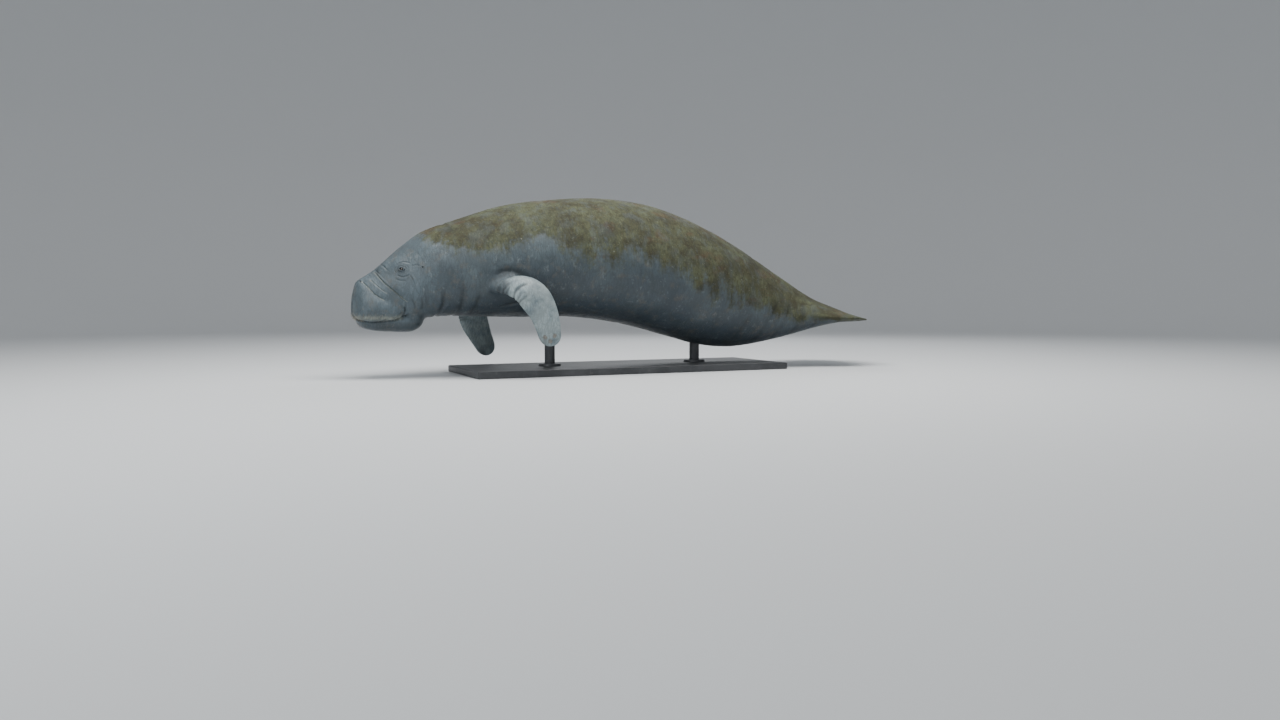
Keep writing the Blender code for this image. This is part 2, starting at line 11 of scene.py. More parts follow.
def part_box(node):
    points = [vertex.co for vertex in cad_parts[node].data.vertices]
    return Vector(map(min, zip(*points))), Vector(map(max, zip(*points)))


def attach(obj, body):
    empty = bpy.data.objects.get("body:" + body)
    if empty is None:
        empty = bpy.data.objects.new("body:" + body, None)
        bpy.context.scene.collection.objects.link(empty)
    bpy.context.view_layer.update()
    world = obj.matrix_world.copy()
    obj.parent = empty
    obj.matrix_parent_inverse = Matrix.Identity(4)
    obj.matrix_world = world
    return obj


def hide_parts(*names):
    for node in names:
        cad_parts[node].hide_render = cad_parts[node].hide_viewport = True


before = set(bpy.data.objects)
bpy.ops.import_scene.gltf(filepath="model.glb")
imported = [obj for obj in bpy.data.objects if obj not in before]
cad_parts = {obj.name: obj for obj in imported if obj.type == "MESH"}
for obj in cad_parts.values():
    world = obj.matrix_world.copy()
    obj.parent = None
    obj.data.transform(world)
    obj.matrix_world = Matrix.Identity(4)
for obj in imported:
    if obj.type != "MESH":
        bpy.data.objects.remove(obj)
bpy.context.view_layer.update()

# The studio
# The photo is taken from a little below the middle of the animal's height, 25 degrees ahead of its left
# side. A pale floor runs up into a round backdrop, and large soft lamps stand in for the light from above.
CAMERA_AT = (-2.241, -5.055, 0.390)
CAMERA_TURN, CAMERA_DIP = math.radians(25), math.radians(3.449)
CAMERA_LENS, CAMERA_SENSOR, CAMERA_REACH = 28, 36, 200
BACKDROP_FLAT, BACKDROP_CURVE, BACKDROP_HIGH, BACKDROP_AROUND = 8.0, 3.0, 9.0, 72
BACKDROP_BENDS, BACKDROP_HUB, FLOOR_DROP = 12, 0.02, 0.0008
AIR_COLOUR, AIR_STRENGTH = (0.80, 0.83, 0.86, 1), 0.55
PAINT_COLOUR, PAINT_ROUGHNESS = (0.62, 0.635, 0.65, 1), 0.9


def add_object(name, data):
    thing = bpy.data.objects.new(name, data)
    bpy.context.scene.collection.objects.link(thing)
    return thing


def soft_lamp(name, at, aim, size, power, tint):
    """A square lamp of the given size that faces a point."""
    lamp = add_object(name, bpy.data.lights.new(name, "AREA"))
    lamp.data.shape = "RECTANGLE"
    lamp.data.size, lamp.data.size_y = size
    lamp.data.energy = power
    lamp.data.color = tint
    lamp.location = at
    lamp.rotation_euler = (Vector(aim) - Vector(at)).to_track_quat("-Z", "Y").to_euler()


camera = add_object("camera", bpy.data.cameras.new("camera"))
camera.data.lens, camera.data.sensor_width, camera.data.clip_end = CAMERA_LENS, CAMERA_SENSOR, CAMERA_REACH
camera.location = CAMERA_AT
looking = Vector((math.sin(CAMERA_TURN), math.cos(CAMERA_TURN), -math.tan(CAMERA_DIP)))
camera.rotation_euler = looking.to_track_quat("-Z", "Y").to_euler()
bpy.context.scene.camera = camera
soft_lamp("lamp_above", (-0.3, -0.9, 4.2), (0.0, 0.0, 0.5), (4.6, 2.4), 300, (1.0, 0.99, 0.96))
soft_lamp("lamp_head_side", (-4.2, -3.2, 2.6), (-0.8, 0.0, 0.5), (2.0, 2.0), 95, (0.95, 0.98, 1.0))
soft_lamp("lamp_behind", (2.5, 3.8, 3.0), (0.2, 0.0, 0.5), (3.0, 1.5), 70, (0.96, 0.98, 1.0))

surroundings = bpy.data.worlds.new("surroundings")
surroundings.use_nodes = True
surroundings.node_tree.nodes["Background"].inputs["Color"].default_value = AIR_COLOUR
surroundings.node_tree.nodes["Background"].inputs["Strength"].default_value = AIR_STRENGTH
bpy.context.scene.world = surroundings

profile = [(BACKDROP_HUB, 0.0)]
for step in range(BACKDROP_BENDS + 1):
    bend = math.pi / 2 * step / BACKDROP_BENDS
    profile.append((BACKDROP_FLAT + BACKDROP_CURVE * math.sin(bend), BACKDROP_CURVE * (1 - math.cos(bend))))
profile.append((BACKDROP_FLAT + BACKDROP_CURVE, BACKDROP_HIGH))
backdrop_points, backdrop_faces = [], [list(range(BACKDROP_AROUND))]
for row, (radius, height) in enumerate(profile):
    for i in range(BACKDROP_AROUND):
        turn = 2 * math.pi * i / BACKDROP_AROUND
        backdrop_points.append((radius * math.cos(turn), radius * math.sin(turn), height - FLOOR_DROP))
        if row:
            here, before = row * BACKDROP_AROUND, (row - 1) * BACKDROP_AROUND
            beside = (i + 1) % BACKDROP_AROUND
            backdrop_faces.append((before + i, before + beside, here + beside, here + i))
backdrop_mesh = bpy.data.meshes.new("backdrop")
backdrop_mesh.from_pydata(backdrop_points, [], backdrop_faces)
backdrop_mesh.shade_smooth()
backdrop = add_object("backdrop", backdrop_mesh)
backdrop_paint = bpy.data.materials.new("backdrop_paint")
backdrop_paint.use_nodes = True
backdrop_paint.node_tree.nodes["Principled BSDF"].inputs["Base Color"].default_value = PAINT_COLOUR
backdrop_paint.node_tree.nodes["Principled BSDF"].inputs["Roughness"].default_value = PAINT_ROUGHNESS
backdrop_mesh.materials.append(backdrop_paint)


# The animal's form
# One thick hide over fat and muscle, from the blunt snout to the rim of the round tail paddle. These
# slanted slices are the same as the solids': how far behind the snout and how high top and bottom are,
# half width, how far up it is widest, the powers of the upper and lower curve and the rim's half thickness.
SNOUT_X = -1.45
BODY_SLICES = {
    "snout": ((0.000, 0.475), (0.000, 0.282), 0.104, 0.34, 2.1, 2.9, 0.0),
    "lips": ((0.085, 0.522), (0.095, 0.284), 0.118, 0.34, 2.0, 3.0, 0.0),
    "bridge": ((0.150, 0.575), (0.175, 0.286), 0.130, 0.37, 2.0, 2.8, 0.0),
    "eyes": ((0.215, 0.635), (0.250, 0.290), 0.150, 0.41, 2.0, 2.5, 0.0),
    "cheeks": ((0.280, 0.688), (0.330, 0.296), 0.178, 0.44, 2.0, 2.3, 0.0),
    "nape": ((0.345, 0.733), (0.405, 0.306), 0.208, 0.46, 2.1, 2.2, 0.0),
    "neck": ((0.420, 0.764), (0.485, 0.310), 0.238, 0.46, 2.1, 2.2, 0.0),
    "collar": ((0.500, 0.790), (0.570, 0.309), 0.264, 0.46, 2.1, 2.2, 0.0),
    "shoulder": ((0.710, 0.864), (0.780, 0.303), 0.304, 0.45, 2.1, 2.1, 0.0),
    "chest": ((1.030, 0.921), (1.080, 0.303), 0.338, 0.45, 2.0, 2.1, 0.0),
    "middle": ((1.360, 0.940), (1.330, 0.282), 0.354, 0.45, 2.0, 2.1, 0.0),
    "belly": ((1.720, 0.880), (1.600, 0.224), 0.346, 0.45, 2.0, 2.1, 0.0),
    "loin": ((2.050, 0.752), (1.840, 0.158), 0.304, 0.46, 2.0, 2.1, 0.0),
    "hip": ((2.290, 0.630), (2.070, 0.122), 0.252, 0.47, 1.9, 2.0, 0.0),
    "stock": ((2.430, 0.548), (2.260, 0.132), 0.226, 0.47, 1.8, 2.0, 0.002),
    "stock_end": ((2.540, 0.482), (2.410, 0.158), 0.236, 0.46, 1.7, 1.9, 0.004),
    "paddle_root": ((2.640, 0.423), (2.560, 0.192), 0.282, 0.46, 1.5, 1.7, 0.007),
    "paddle": ((2.750, 0.365), (2.710, 0.229), 0.324, 0.45, 1.4, 1.5, 0.008),
    "paddle_wide": ((2.870, 0.314), (2.850, 0.252), 0.336, 0.45, 1.4, 1.5, 0.008),
    "paddle_end": ((3.020, 0.278), (3.020, 0.258), 0.336, 0.45, 1.4, 1.5, 0.008),
}
SNOUT_ROUNDING, PADDLE_ROUNDING = (0.080, 3.0), (0.290, 2.2)
BODY_AROUND = 176
HEAD_LENGTH, HEAD_STEP, BODY_STEP, PADDLE_STEP = 0.46, 0.0042, 0.0150, 0.0095
STOCK_LENGTH, FACE_LENGTH, FACE_FADE = 0.2, 0.340, 0.040
SNOUT_RINGS, PADDLE_RINGS = 30, 36
SWELLS = {
    "lip_pad": ((0.095, 0.106, 0.335), 0.068, 0.018),
    "lip_corner": ((0.180, 0.118, 0.318), 0.046, 0.016),
    "cheek": ((0.310, 0.170, 0.400), 0.080, 0.010),
    "brow": ((0.205, 0.110, 0.570), 0.040, 0.007),
    "eye_mound": ((0.218, 0.150, 0.541), 0.034, 0.005),
    "nostril_mound": ((0.030, 0.042, 0.474), 0.030, 0.007),
}
FOLDS = {
    "cheek_fold": (
        ((0.112, 0.030, 0.535), (0.150, 0.098, 0.462), (0.195, 0.130, 0.420), (0.245, 0.148, 0.372)),
        0.014,
        0.008,
    ),
    "muzzle_fold": (((0.040, 0.050, 0.485), (0.088, 0.104, 0.420), (0.140, 0.130, 0.384)), 0.013, 0.006),
    "pad_end": (((0.240, 0.140, 0.350), (0.232, 0.130, 0.318), (0.220, 0.115, 0.290)), 0.020, 0.010),
    "lip_cleft": (((-0.005, 0.000, 0.410), (-0.005, 0.000, 0.350), (0.000, 0.000, 0.286)), 0.016, 0.012),
}


def smooth_curve(knots, values):
    """A natural cubic spline through the values at the knots, as a function of an array of places."""
    knots, values = np.asarray(knots, float), np.asarray(values, float)
    step = np.diff(knots)
    slope = np.diff(values, axis=0) / step[:, None]
    count = len(knots)
    system, wanted = np.eye(count), np.zeros_like(values)
    for i in range(1, count - 1):
        system[i, i - 1 : i + 2] = step[i - 1], 2 * (step[i - 1] + step[i]), step[i]
        wanted[i] = 6 * (slope[i] - slope[i - 1])
    bend = np.linalg.solve(system, wanted)

    def at(places):
        places = np.atleast_1d(places)
        i = np.clip(np.searchsorted(knots, places) - 1, 0, count - 2)
        h = step[i][:, None]
        u, v = (knots[i + 1] - places)[:, None] / h, (places - knots[i])[:, None] / h
        curved = ((u**3 - u) * bend[i] + (v**3 - v) * bend[i + 1]) * h**2 / 6
        return u * values[i] + v * values[i + 1] + curved

    return at


def end_rounding(distance, shape):
    """How far a blunt end has closed in at each distance from it, from 0 to 1."""
    depth, power = shape
    inside = np.clip(1 - np.asarray(distance, float) / depth, 0, 1)
    return np.clip(1 - inside**power, 0, 1) ** (1 / power)


def end_places(count, shape):
    """Distances from a blunt end that spread its rings evenly over its curve, nearest first."""
    depth, power = shape
    turns = math.pi / 2 * np.arange(1, count + 1) / (count + 1)
    return depth * (1 - np.cos(turns) ** (2 / power))


def even_places(start, end, step):
    return np.linspace(start, end, max(2, round((end - start) / step) + 1))


class Form:
    """A row of slices with a smooth body through them."""

    def __init__(self, table, front, back):
        self.front, self.back = front, back
        rows = list(table.values())
        tops = np.array([row[0] for row in rows]) + (SNOUT_X, 0)
        lows = np.array([row[1] for row in rows]) + (SNOUT_X, 0)
        lengths = np.linalg.norm(np.diff((tops + lows) / 2, axis=0), axis=1)
        self.places = np.concatenate([[0], np.cumsum(lengths)])
        self.length = float(self.places[-1])
        self.at = smooth_curve(self.places, np.hstack([tops, lows, np.array([row[2:] for row in rows])]))

    def middle(self, places):
        """Top, bottom and widest point of the slices, and their other values."""
        row = self.at(places)
        flat = np.zeros(len(row))
        top = np.column_stack([row[:, 0], flat, row[:, 1]])
        low = np.column_stack([row[:, 2], flat, row[:, 3]])
        return top, low, low + (top - low) * row[:, 5:6], row

    def rings(self, places, around):
        top, low, centre, row = self.middle(places)
        closing = end_rounding(places, self.front) * end_rounding(self.length - places, self.back)
        turn = np.arange(around) * 2 * math.pi / around
        rise, side = np.sin(turn)[None, :], np.cos(turn)[None, :]
        upper = rise >= 0
        reach = np.where(upper[..., None], (top - centre)[:, None], (centre - low)[:, None])
        tall = np.linalg.norm(reach, axis=2)
        power = np.where(upper, row[:, 6:7], row[:, 7:8])
        edge = np.minimum(row[:, 8:9], tall)
        height = (tall - edge) * np.abs(rise) ** (2 / power) + edge * np.abs(rise) ** 0.5
        across = row[:, 4:5] * np.sign(side) * np.abs(side) ** (2 / power)
        off = reach / tall[..., None] * (np.sign(rise) * height)[..., None]
        off[..., 1] += across
        return centre[:, None] + closing[:, None, None] * off

    def ends(self):
        return self.middle([0.0])[2][0], self.middle([self.length])[2][0]


def closed_mesh(name, rings, start, end):
    """A closed mesh over rings of equal count, with one point at each end."""
    rows, around = rings.shape[:2]
    points = np.vstack([rings.reshape(-1, 3), start, end])
    first = np.arange(rows - 1)[:, None] * around + np.arange(around)[None, :]
    beside = np.arange(rows - 1)[:, None] * around + np.roll(np.arange(around), -1)[None, :]
    quads = np.stack([first, beside, beside + around, first + around], axis=2).reshape(-1, 4)
    here, there = np.arange(around), np.roll(np.arange(around), -1)
    last = (rows - 1) * around
    head = np.stack([there, here, np.full(around, rows * around)], axis=1)
    tail = np.stack([last + here, last + there, np.full(around, rows * around + 1)], axis=1)
    mesh = bpy.data.meshes.new(name)
    mesh.from_pydata(points.tolist(), [], quads.tolist() + head.tolist() + tail.tolist())
    turned = bmesh.new()
    turned.from_mesh(mesh)
    bmesh.ops.recalc_face_normals(turned, faces=turned.faces)
    if turned.calc_volume(signed=True) < 0:
        bmesh.ops.reverse_faces(turned, faces=turned.faces)
    turned.to_mesh(mesh)
    turned.free()
    return add_object(name, mesh)


def rows_of(things, what, wide, kind=float):
    """An array with one row of the given width for each point, edge or triangle of a mesh."""
    flat = np.empty(len(things) * wide, kind)
    things.foreach_get(what, flat)
    return flat.reshape(-1, wide)


def points_of(mesh):
    return rows_of(mesh.vertices, "co", 3)


def put_points(mesh, points):
    mesh.vertices.foreach_set("co", points.ravel())
    mesh.update()


def to_path(points, path):
    """Each point's distance from a path of straight stretches."""
    best = np.full(len(points), np.inf)
    for a, b in zip(path, path[1:]):
        a, b = np.array(a), np.array(b)
        along = np.clip(((points - a) @ (b - a)) / ((b - a) @ (b - a)), 0, 1)
        best = np.minimum(best, np.linalg.norm(points - (a + along[:, None] * (b - a)), axis=1))
    return best


body_form = Form(BODY_SLICES, SNOUT_ROUNDING, PADDLE_ROUNDING)
body_ends = body_form.ends()
paddle_from = body_form.length - PADDLE_ROUNDING[0]
stock_from = paddle_from - STOCK_LENGTH
body_places = np.concatenate(
    [
        end_places(SNOUT_RINGS, SNOUT_ROUNDING),
        even_places(SNOUT_ROUNDING[0], HEAD_LENGTH, HEAD_STEP)[:-1],
        even_places(HEAD_LENGTH, stock_from, BODY_STEP)[:-1],
        even_places(stock_from, paddle_from, PADDLE_STEP)[:-1],
        (body_form.length - end_places(PADDLE_RINGS, PADDLE_ROUNDING))[::-1],
    ]
)
skin = closed_mesh("skin", body_form.rings(body_places, BODY_AROUND), *body_ends)


def bell(value, width):
    """1 at 0, falling smoothly to nothing a few widths away."""
    return np.exp(-((value / width) ** 2))


def measured_from_snout(points):
    """Points as distance behind the snout, half width and height, the same on both sides."""
    return np.column_stack([points[:, 0] - SNOUT_X, np.abs(points[:, 1]), points[:, 2]])


def shape_face(mesh):
    """The lip pads, cheeks and brows swell and the large folds sink, as in the solids."""
    points, normals = points_of(mesh), rows_of(mesh.vertex_normals, "vector", 3)
    measured = measured_from_snout(points)
    push = np.zeros(len(points))
    for centre, radius, height in SWELLS.values():
        push += height * bell(np.linalg.norm(measured - np.array(centre), axis=1), radius)
    for path, width, depth in FOLDS.values():
        push -= depth * bell(to_path(measured, path), width)
    push *= np.clip((FACE_LENGTH - measured[:, 0]) / FACE_FADE, 0, 1)
    put_points(mesh, points + normals * push[:, None])


shape_face(skin.data)


# The lower jaw
# A short scoop of a jaw that the upper lip pads hang over. It is part of the same hide.
JAW_SLICES = {
    "lip": ((0.016, 0.345), (0.016, 0.258), 0.066, 0.50, 2.2, 2.4, 0.0),
    "chin": ((0.090, 0.352), (0.090, 0.240), 0.084, 0.50, 2.2, 2.3, 0.0),
    "jaw": ((0.170, 0.356), (0.170, 0.232), 0.098, 0.50, 2.2, 2.2, 0.0),
    "jaw_angle": ((0.270, 0.362), (0.270, 0.230), 0.112, 0.50, 2.2, 2.2, 0.0),
    "throat": ((0.352, 0.370), (0.352, 0.236), 0.122, 0.50, 2.2, 2.2, 0.0),
}
JAW_FRONT_ROUNDING, JAW_BACK_ROUNDING = (0.050, 2.4), (0.085, 2.0)
JAW_STEP, JAW_FRONT_RINGS, JAW_BACK_RINGS, JAW_AROUND = 0.005, 12, 18, 96
jaw_form = Form(JAW_SLICES, JAW_FRONT_ROUNDING, JAW_BACK_ROUNDING)
jaw_places = np.concatenate(
    [
        end_places(JAW_FRONT_RINGS, JAW_FRONT_ROUNDING),
        even_places(JAW_FRONT_ROUNDING[0], jaw_form.length - JAW_BACK_ROUNDING[0], JAW_STEP)[:-1],
        (jaw_form.length - end_places(JAW_BACK_RINGS, JAW_BACK_ROUNDING))[::-1],
    ]
)
jaw = closed_mesh("jaw", jaw_form.rings(jaw_places, JAW_AROUND), *jaw_form.ends())


# The flippers
# Arm, wrist and hand in one thick mitten of hide. The left one is bent at the elbow across the chest, and
# the right one hangs. Centre, the way the broad face looks, breadth and thickness, from root to tip.
LEFT_FLIPPER = {
    "root": ((-0.800, -0.190, 0.462), (0.00, -0.80, 0.60), 0.110, 0.074),
    "shoulder": ((-0.774, -0.275, 0.463), (0.10, -0.80, 0.60), 0.114, 0.070),
    "upper_arm": ((-0.731, -0.338, 0.460), (0.05, -0.85, 0.53), 0.128, 0.064),
    "elbow_in": ((-0.687, -0.375, 0.445), (0.00, -0.90, 0.42), 0.152, 0.060),
    "elbow": ((-0.643, -0.397, 0.404), (-0.05, -0.95, 0.30), 0.163, 0.056),
    "forearm": ((-0.604, -0.405, 0.343), (-0.15, -0.98, 0.18), 0.146, 0.050),
    "wrist": ((-0.579, -0.403, 0.276), (-0.30, -0.95, 0.10), 0.127, 0.042),
    "hand": ((-0.560, -0.394, 0.208), (-0.36, -0.93, 0.04), 0.112, 0.032),
    "tip": ((-0.552, -0.385, 0.160), (-0.38, -0.92, 0.00), 0.100, 0.022),
}
RIGHT_FLIPPER = {
    "root": ((-0.800, 0.180, 0.440), (0.00, 0.90, 0.40), 0.124, 0.074),
    "shoulder": ((-0.789, 0.262, 0.402), (0.00, 0.90, 0.44), 0.138, 0.070),
    "upper_arm": ((-0.770, 0.312, 0.348), (0.00, 0.93, 0.36), 0.150, 0.062),
    "elbow": ((-0.743, 0.338, 0.284), (0.00, 0.96, 0.26), 0.156, 0.056),
    "forearm": ((-0.715, 0.348, 0.222), (-0.06, 0.98, 0.16), 0.142, 0.048),
    "wrist": ((-0.688, 0.350, 0.164), (-0.12, 0.98, 0.06), 0.126, 0.040),
    "hand": ((-0.666, 0.348, 0.112), (-0.16, 0.98, 0.00), 0.112, 0.030),
    "tip": ((-0.657, 0.346, 0.082), (-0.16, 0.98, 0.00), 0.100, 0.022),
}
FLIPPER_ROUNDING = (0.060, 2.2)
FLIPPER_POWER, FLIPPER_RIM = 1.7, 0.005
FLIPPER_AROUND, FLIPPER_STEP, FLIPPER_TIP_RINGS = 84, 0.0055, 12


def unit(rows):
    return rows / np.linalg.norm(rows, axis=1, keepdims=True)


class Flipper:
    """A flipper's centre line with its breadth, its thickness and the way its broad face looks."""

    def __init__(self, table):
        rows = list(table.values())
        centres = np.array([row[0] for row in rows])
        lengths = np.linalg.norm(np.diff(centres, axis=0), axis=1)
        self.places = np.concatenate([[0], np.cumsum(lengths)])
        self.length = float(self.places[-1])
        sizes = np.array([row[2:] for row in rows])
        self.at = smooth_curve(self.places, np.hstack([centres, np.array([row[1] for row in rows]), sizes]))

    def frame(self, places):
        """Centre, breadth direction, face direction, breadth and thickness at each place."""
        places = np.atleast_1d(places)
        here = self.at(places)
        along = unit(self.at(places + 0.002)[:, :3] - self.at(places - 0.002)[:, :3])
        face = here[:, 3:6]
        face = unit(face - along * np.sum(face * along, axis=1, keepdims=True))
        return here[:, :3], np.cross(along, face), face, here[:, 6:7], here[:, 7:8]

    def rings(self, places):
        centre, breadth, face, wide, thick = self.frame(places)
        closing = end_rounding(self.length - places, FLIPPER_ROUNDING)[:, None, None]
        turn = np.arange(FLIPPER_AROUND) * 2 * math.pi / FLIPPER_AROUND
        rise, side = np.sin(turn)[None, :], np.cos(turn)[None, :]
        high = (thick / 2 - FLIPPER_RIM) * np.abs(rise) ** (2 / FLIPPER_POWER)
        high = np.sign(rise) * (high + FLIPPER_RIM * np.abs(rise) ** 0.5)
        across = wide / 2 * np.sign(side) * np.abs(side) ** (2 / FLIPPER_POWER)
        off = breadth[:, None] * across[..., None] + face[:, None] * high[..., None]
        return centre[:, None] + closing * off

    def mesh(self, name):
        tip_from = self.length - FLIPPER_ROUNDING[0]
        places = np.concatenate(
            [
                even_places(0, tip_from, FLIPPER_STEP)[:-1],
                (self.length - end_places(FLIPPER_TIP_RINGS, FLIPPER_ROUNDING))[::-1],
            ]
        )
        rings = self.rings(places)
        return closed_mesh(name, rings, self.frame(0)[0][0], self.frame(self.length)[0][0])


flippers = {"left": Flipper(LEFT_FLIPPER), "right": Flipper(RIGHT_FLIPPER)}


# The joined skin
# Jaw and flippers grow out of the body without a seam: the joints are rounded like flesh.
SHOULDER_BLEND, JAW_BLEND, THROAT_BLEND = 0.050, 0.010, 0.045
THROAT_FROM = 0.285
MOUTH_ROUNDS, FLESH_ROUNDS, RELAX_SHARE = 6, 60, 0.6
NEW_POINT = 2e-6


def tree_of(spots):
    """A tree that finds the nearest of the spots."""
    tree = KDTree(len(spots))
    for i, spot in enumerate(spots):
        tree.insert(spot, i)
    tree.balance()
    return tree


def join_flesh(thing, other):
    """Makes one closed skin of two, and gives back the points along their joint."""
    known = tree_of(np.vstack([points_of(thing.data), points_of(other.data)]))
    joining = thing.modifiers.new("join", "BOOLEAN")
    joining.operation = "UNION"
    joining.solver = "MANIFOLD"
    joining.object = other
    bpy.context.view_layer.update()
    mesh = bpy.data.meshes.new_from_object(thing.evaluated_get(bpy.context.evaluated_depsgraph_get()))
    thing.modifiers.clear()
    thing.data = mesh
    bpy.data.objects.remove(other)
    return np.array([tuple(v.co) for v in mesh.vertices if known.find(v.co)[2] > NEW_POINT])


def distance_to(points, spots, reach):
    """Each point's distance from the nearest spot, up to reach."""
    tree = tree_of(spots)
    away = np.full(len(points), reach)
    low, high = spots.min(0) - reach, spots.max(0) + reach
    for i in np.flatnonzero(np.all((points > low) & (points < high), axis=1)):
        away[i] = min(reach, tree.find(points[i])[2])
    return away


def relax(mesh, weight, rounds):
    """Evens out the skin where the weight says so."""
    points, ends = points_of(mesh), rows_of(mesh.edges, "vertices", 2, np.int64)
    ends = ends[(weight[ends[:, 0]] > 0) | (weight[ends[:, 1]] > 0)]
    a, b = ends[:, 0], ends[:, 1]
    count = np.bincount(a, minlength=len(points)) + np.bincount(b, minlength=len(points))
    moving = (weight > 0) & (count > 0)
    for _ in range(rounds):
        middle = np.empty_like(points)
        for axis in range(3):
            middle[:, axis] = np.bincount(a, points[b, axis], len(points))
            middle[:, axis] += np.bincount(b, points[a, axis], len(points))
        middle[moving] /= count[moving, None]
        points[moving] += (middle - points)[moving] * weight[moving, None] * RELAX_SHARE
    put_points(mesh, points)


mouth_line = join_flesh(skin, jaw)
shoulder_lines = [join_flesh(skin, flippers[side].mesh(f"flipper_{side}")) for side in ("left", "right")]
throat_line = mouth_line[mouth_line[:, 0] > SNOUT_X + THROAT_FROM]
for line, reach, rounds in (
    (mouth_line, JAW_BLEND, MOUTH_ROUNDS),
    (throat_line, THROAT_BLEND, FLESH_ROUNDS),
    (np.vstack(shoulder_lines), SHOULDER_BLEND, FLESH_ROUNDS),
):
    relax(skin.data, 1 - distance_to(points_of(skin.data), line, reach) / reach, rounds)


# Folds and creases of the hide
# The thick hide creases where it bends: across the muzzle, round the lips and eyes, on the neck, behind the
# arms and along the tail stock. A row of the table is in millimetres and has the crease's half width and
# depth, and then its path: distance behind the snout, half width of the body and height. Both sides have
# them alike, but for two over the bent arm, which are on the left only.
MM = 0.001
CREASES_IN_MM = {
    "muzzle_line": (2.8, 3.6, (36, 45, 487), (60, 78, 455), (88, 104, 419), (134, 128, 386)),
    "cheek_line": (3, 4.6, (100, 30, 530), (140, 90, 470), (188, 128, 426), (240, 148, 376)),
    "between_line": (2.4, 1.8, (78, 60, 487), (115, 98, 446), (150, 118, 418)),
    "upper_bridge": (3.6, 2.2, (140, 0, 566), (150, 45, 552), (168, 85, 524)),
    "lower_bridge": (3, 2, (108, 0, 540), (116, 40, 528), (130, 68, 505)),
    "snout_bridge": (2.8, 1.4, (74, 0, 514), (80, 30, 506), (90, 54, 490)),
    "pad_edge": (4.2, 6, (226, 126, 364), (236, 130, 338), (232, 124, 312), (218, 110, 291)),
    "cheek_arc": (4.6, 3, (262, 150, 405), (276, 150, 370), (276, 146, 335)),
    "cheek_arc_back": (5, 2, (300, 160, 412), (314, 160, 374), (312, 150, 334)),
    "brow_line": (3.2, 2, (176, 118, 560), (200, 124, 580), (232, 132, 582), (262, 146, 568)),
    "under_eye": (3, 2.2, (186, 136, 518), (206, 146, 506), (232, 152, 506), (256, 158, 518)),
    "under_eye_low": (3.4, 1.5, (176, 138, 500), (206, 148, 486), (236, 156, 486)),
    "eye_to_cheek": (3.2, 1.5, (246, 154, 518), (266, 162, 488), (276, 166, 452)),
    "temple": (3.4, 1.4, (256, 146, 556), (286, 154, 560), (312, 160, 552)),
    "throat_fold": (9, 6, (405, 0, 306), (410, 110, 322), (412, 185, 385), (404, 215, 460)),
    "neck_fold": (10, 6, (490, 0, 309), (500, 140, 326), (500, 225, 400), (488, 256, 500)),
    "neck_fold_back": (9.5, 4, (560, 70, 312), (575, 190, 350), (578, 262, 440)),
    "nape_fold": (11, 3, (452, 0, 778), (456, 90, 762), (462, 165, 712)),
    "armpit": (10, 7, (700, 250, 372), (740, 280, 380), (790, 300, 395), (840, 312, 420)),
    "armpit_low": (9.5, 5, (680, 200, 330), (740, 230, 336), (810, 262, 350)),
    "behind_arm": (9, 4.5, (800, 315, 470), (822, 322, 430), (826, 312, 390)),
    "over_arm": (11, 6, (640, 286, 512), (690, 300, 535), (750, 312, 530), (800, 320, 505)),
    "hip_fold": (11, 3, (2060, 120, 148), (2100, 215, 230), (2150, 255, 330)),
    "stock_fold": (10, 3.4, (2210, 90, 146), (2245, 190, 215), (2290, 228, 310), (2340, 215, 400)),
    "stock_fold_back": (9, 3.2, (2330, 80, 158), (2360, 180, 220), (2395, 228, 310), (2430, 200, 395)),
    "paddle_fold": (8.5, 3, (2440, 90, 178), (2460, 180, 225), (2490, 238, 300), (2520, 200, 372)),
    "paddle_fold_back": (8, 2.4, (2530, 80, 205), (2555, 190, 240), (2580, 262, 288)),
}
CREASES = {
    name: (wide * MM, deep * MM, *(tuple(value * MM for value in spot) for spot in spots))
    for name, (wide, deep, *spots) in CREASES_IN_MM.items()
}
for number, behind in enumerate((0.020, 0.052, 0.082, 0.112, 0.141, 0.168, 0.192)):
    lean = 0.010 - 0.004 * (number % 3)
    low_spot = (behind, 0.090 + 0.020 * (number > 1), 0.286)
    high_spot = (behind + lean, 0.124, 0.322 + 0.006 * (number % 2))
    CREASES[f"lip_{number}"] = (0.0024, 0.0017, low_spot, (behind + lean / 2, 0.112, 0.304), high_spot)
for number, (degrees, length) in enumerate(
    ((-30, 0.026), (-8, 0.034), (12, 0.028), (31, 0.040), (52, 0.030), (74, 0.036), (98, 0.024))
):
    ahead, up = length * math.cos(math.radians(degrees)), length * math.sin(math.radians(degrees))
    start = (0.214 - ahead * 0.30, 0.130, 0.345 + up * 0.30)
    bend = (0.214 - ahead * 0.65, 0.130, 0.345 + up * 0.60)
    CREASES[f"mouth_corner_{number}"] = (0.0021, 0.0011, start, bend, (0.214 - ahead, 0.128, 0.345 + up))
PATH_STEP, PATH_SMOOTHING = 0.0018, 9
FINE_CREASE = 0.0060
COARSE_EDGE, SHOULDER_FINE = 0.0085, 0.034
CREASE_REACH, CREASE_LIP, CREASE_LIP_AT, DEEP_CREASE, FROM_MIDDLE = 4.5, 0.28, 2.3, 0.004, 0.01
FINE_AT = ("throat", "neck", "armpit", "behind_arm", "over_arm")
LEFT_ONLY = ("behind_arm", "over_arm")

skin_tree = BVHTree.FromObject(skin, bpy.context.evaluated_depsgraph_get())


def on_skin(behind, half_width, height):
    """The nearest point of the skin's right side, and its normal."""
    point, normal, _, _ = skin_tree.find_nearest(Vector((SNOUT_X + behind, half_width, height)))
    return point, normal


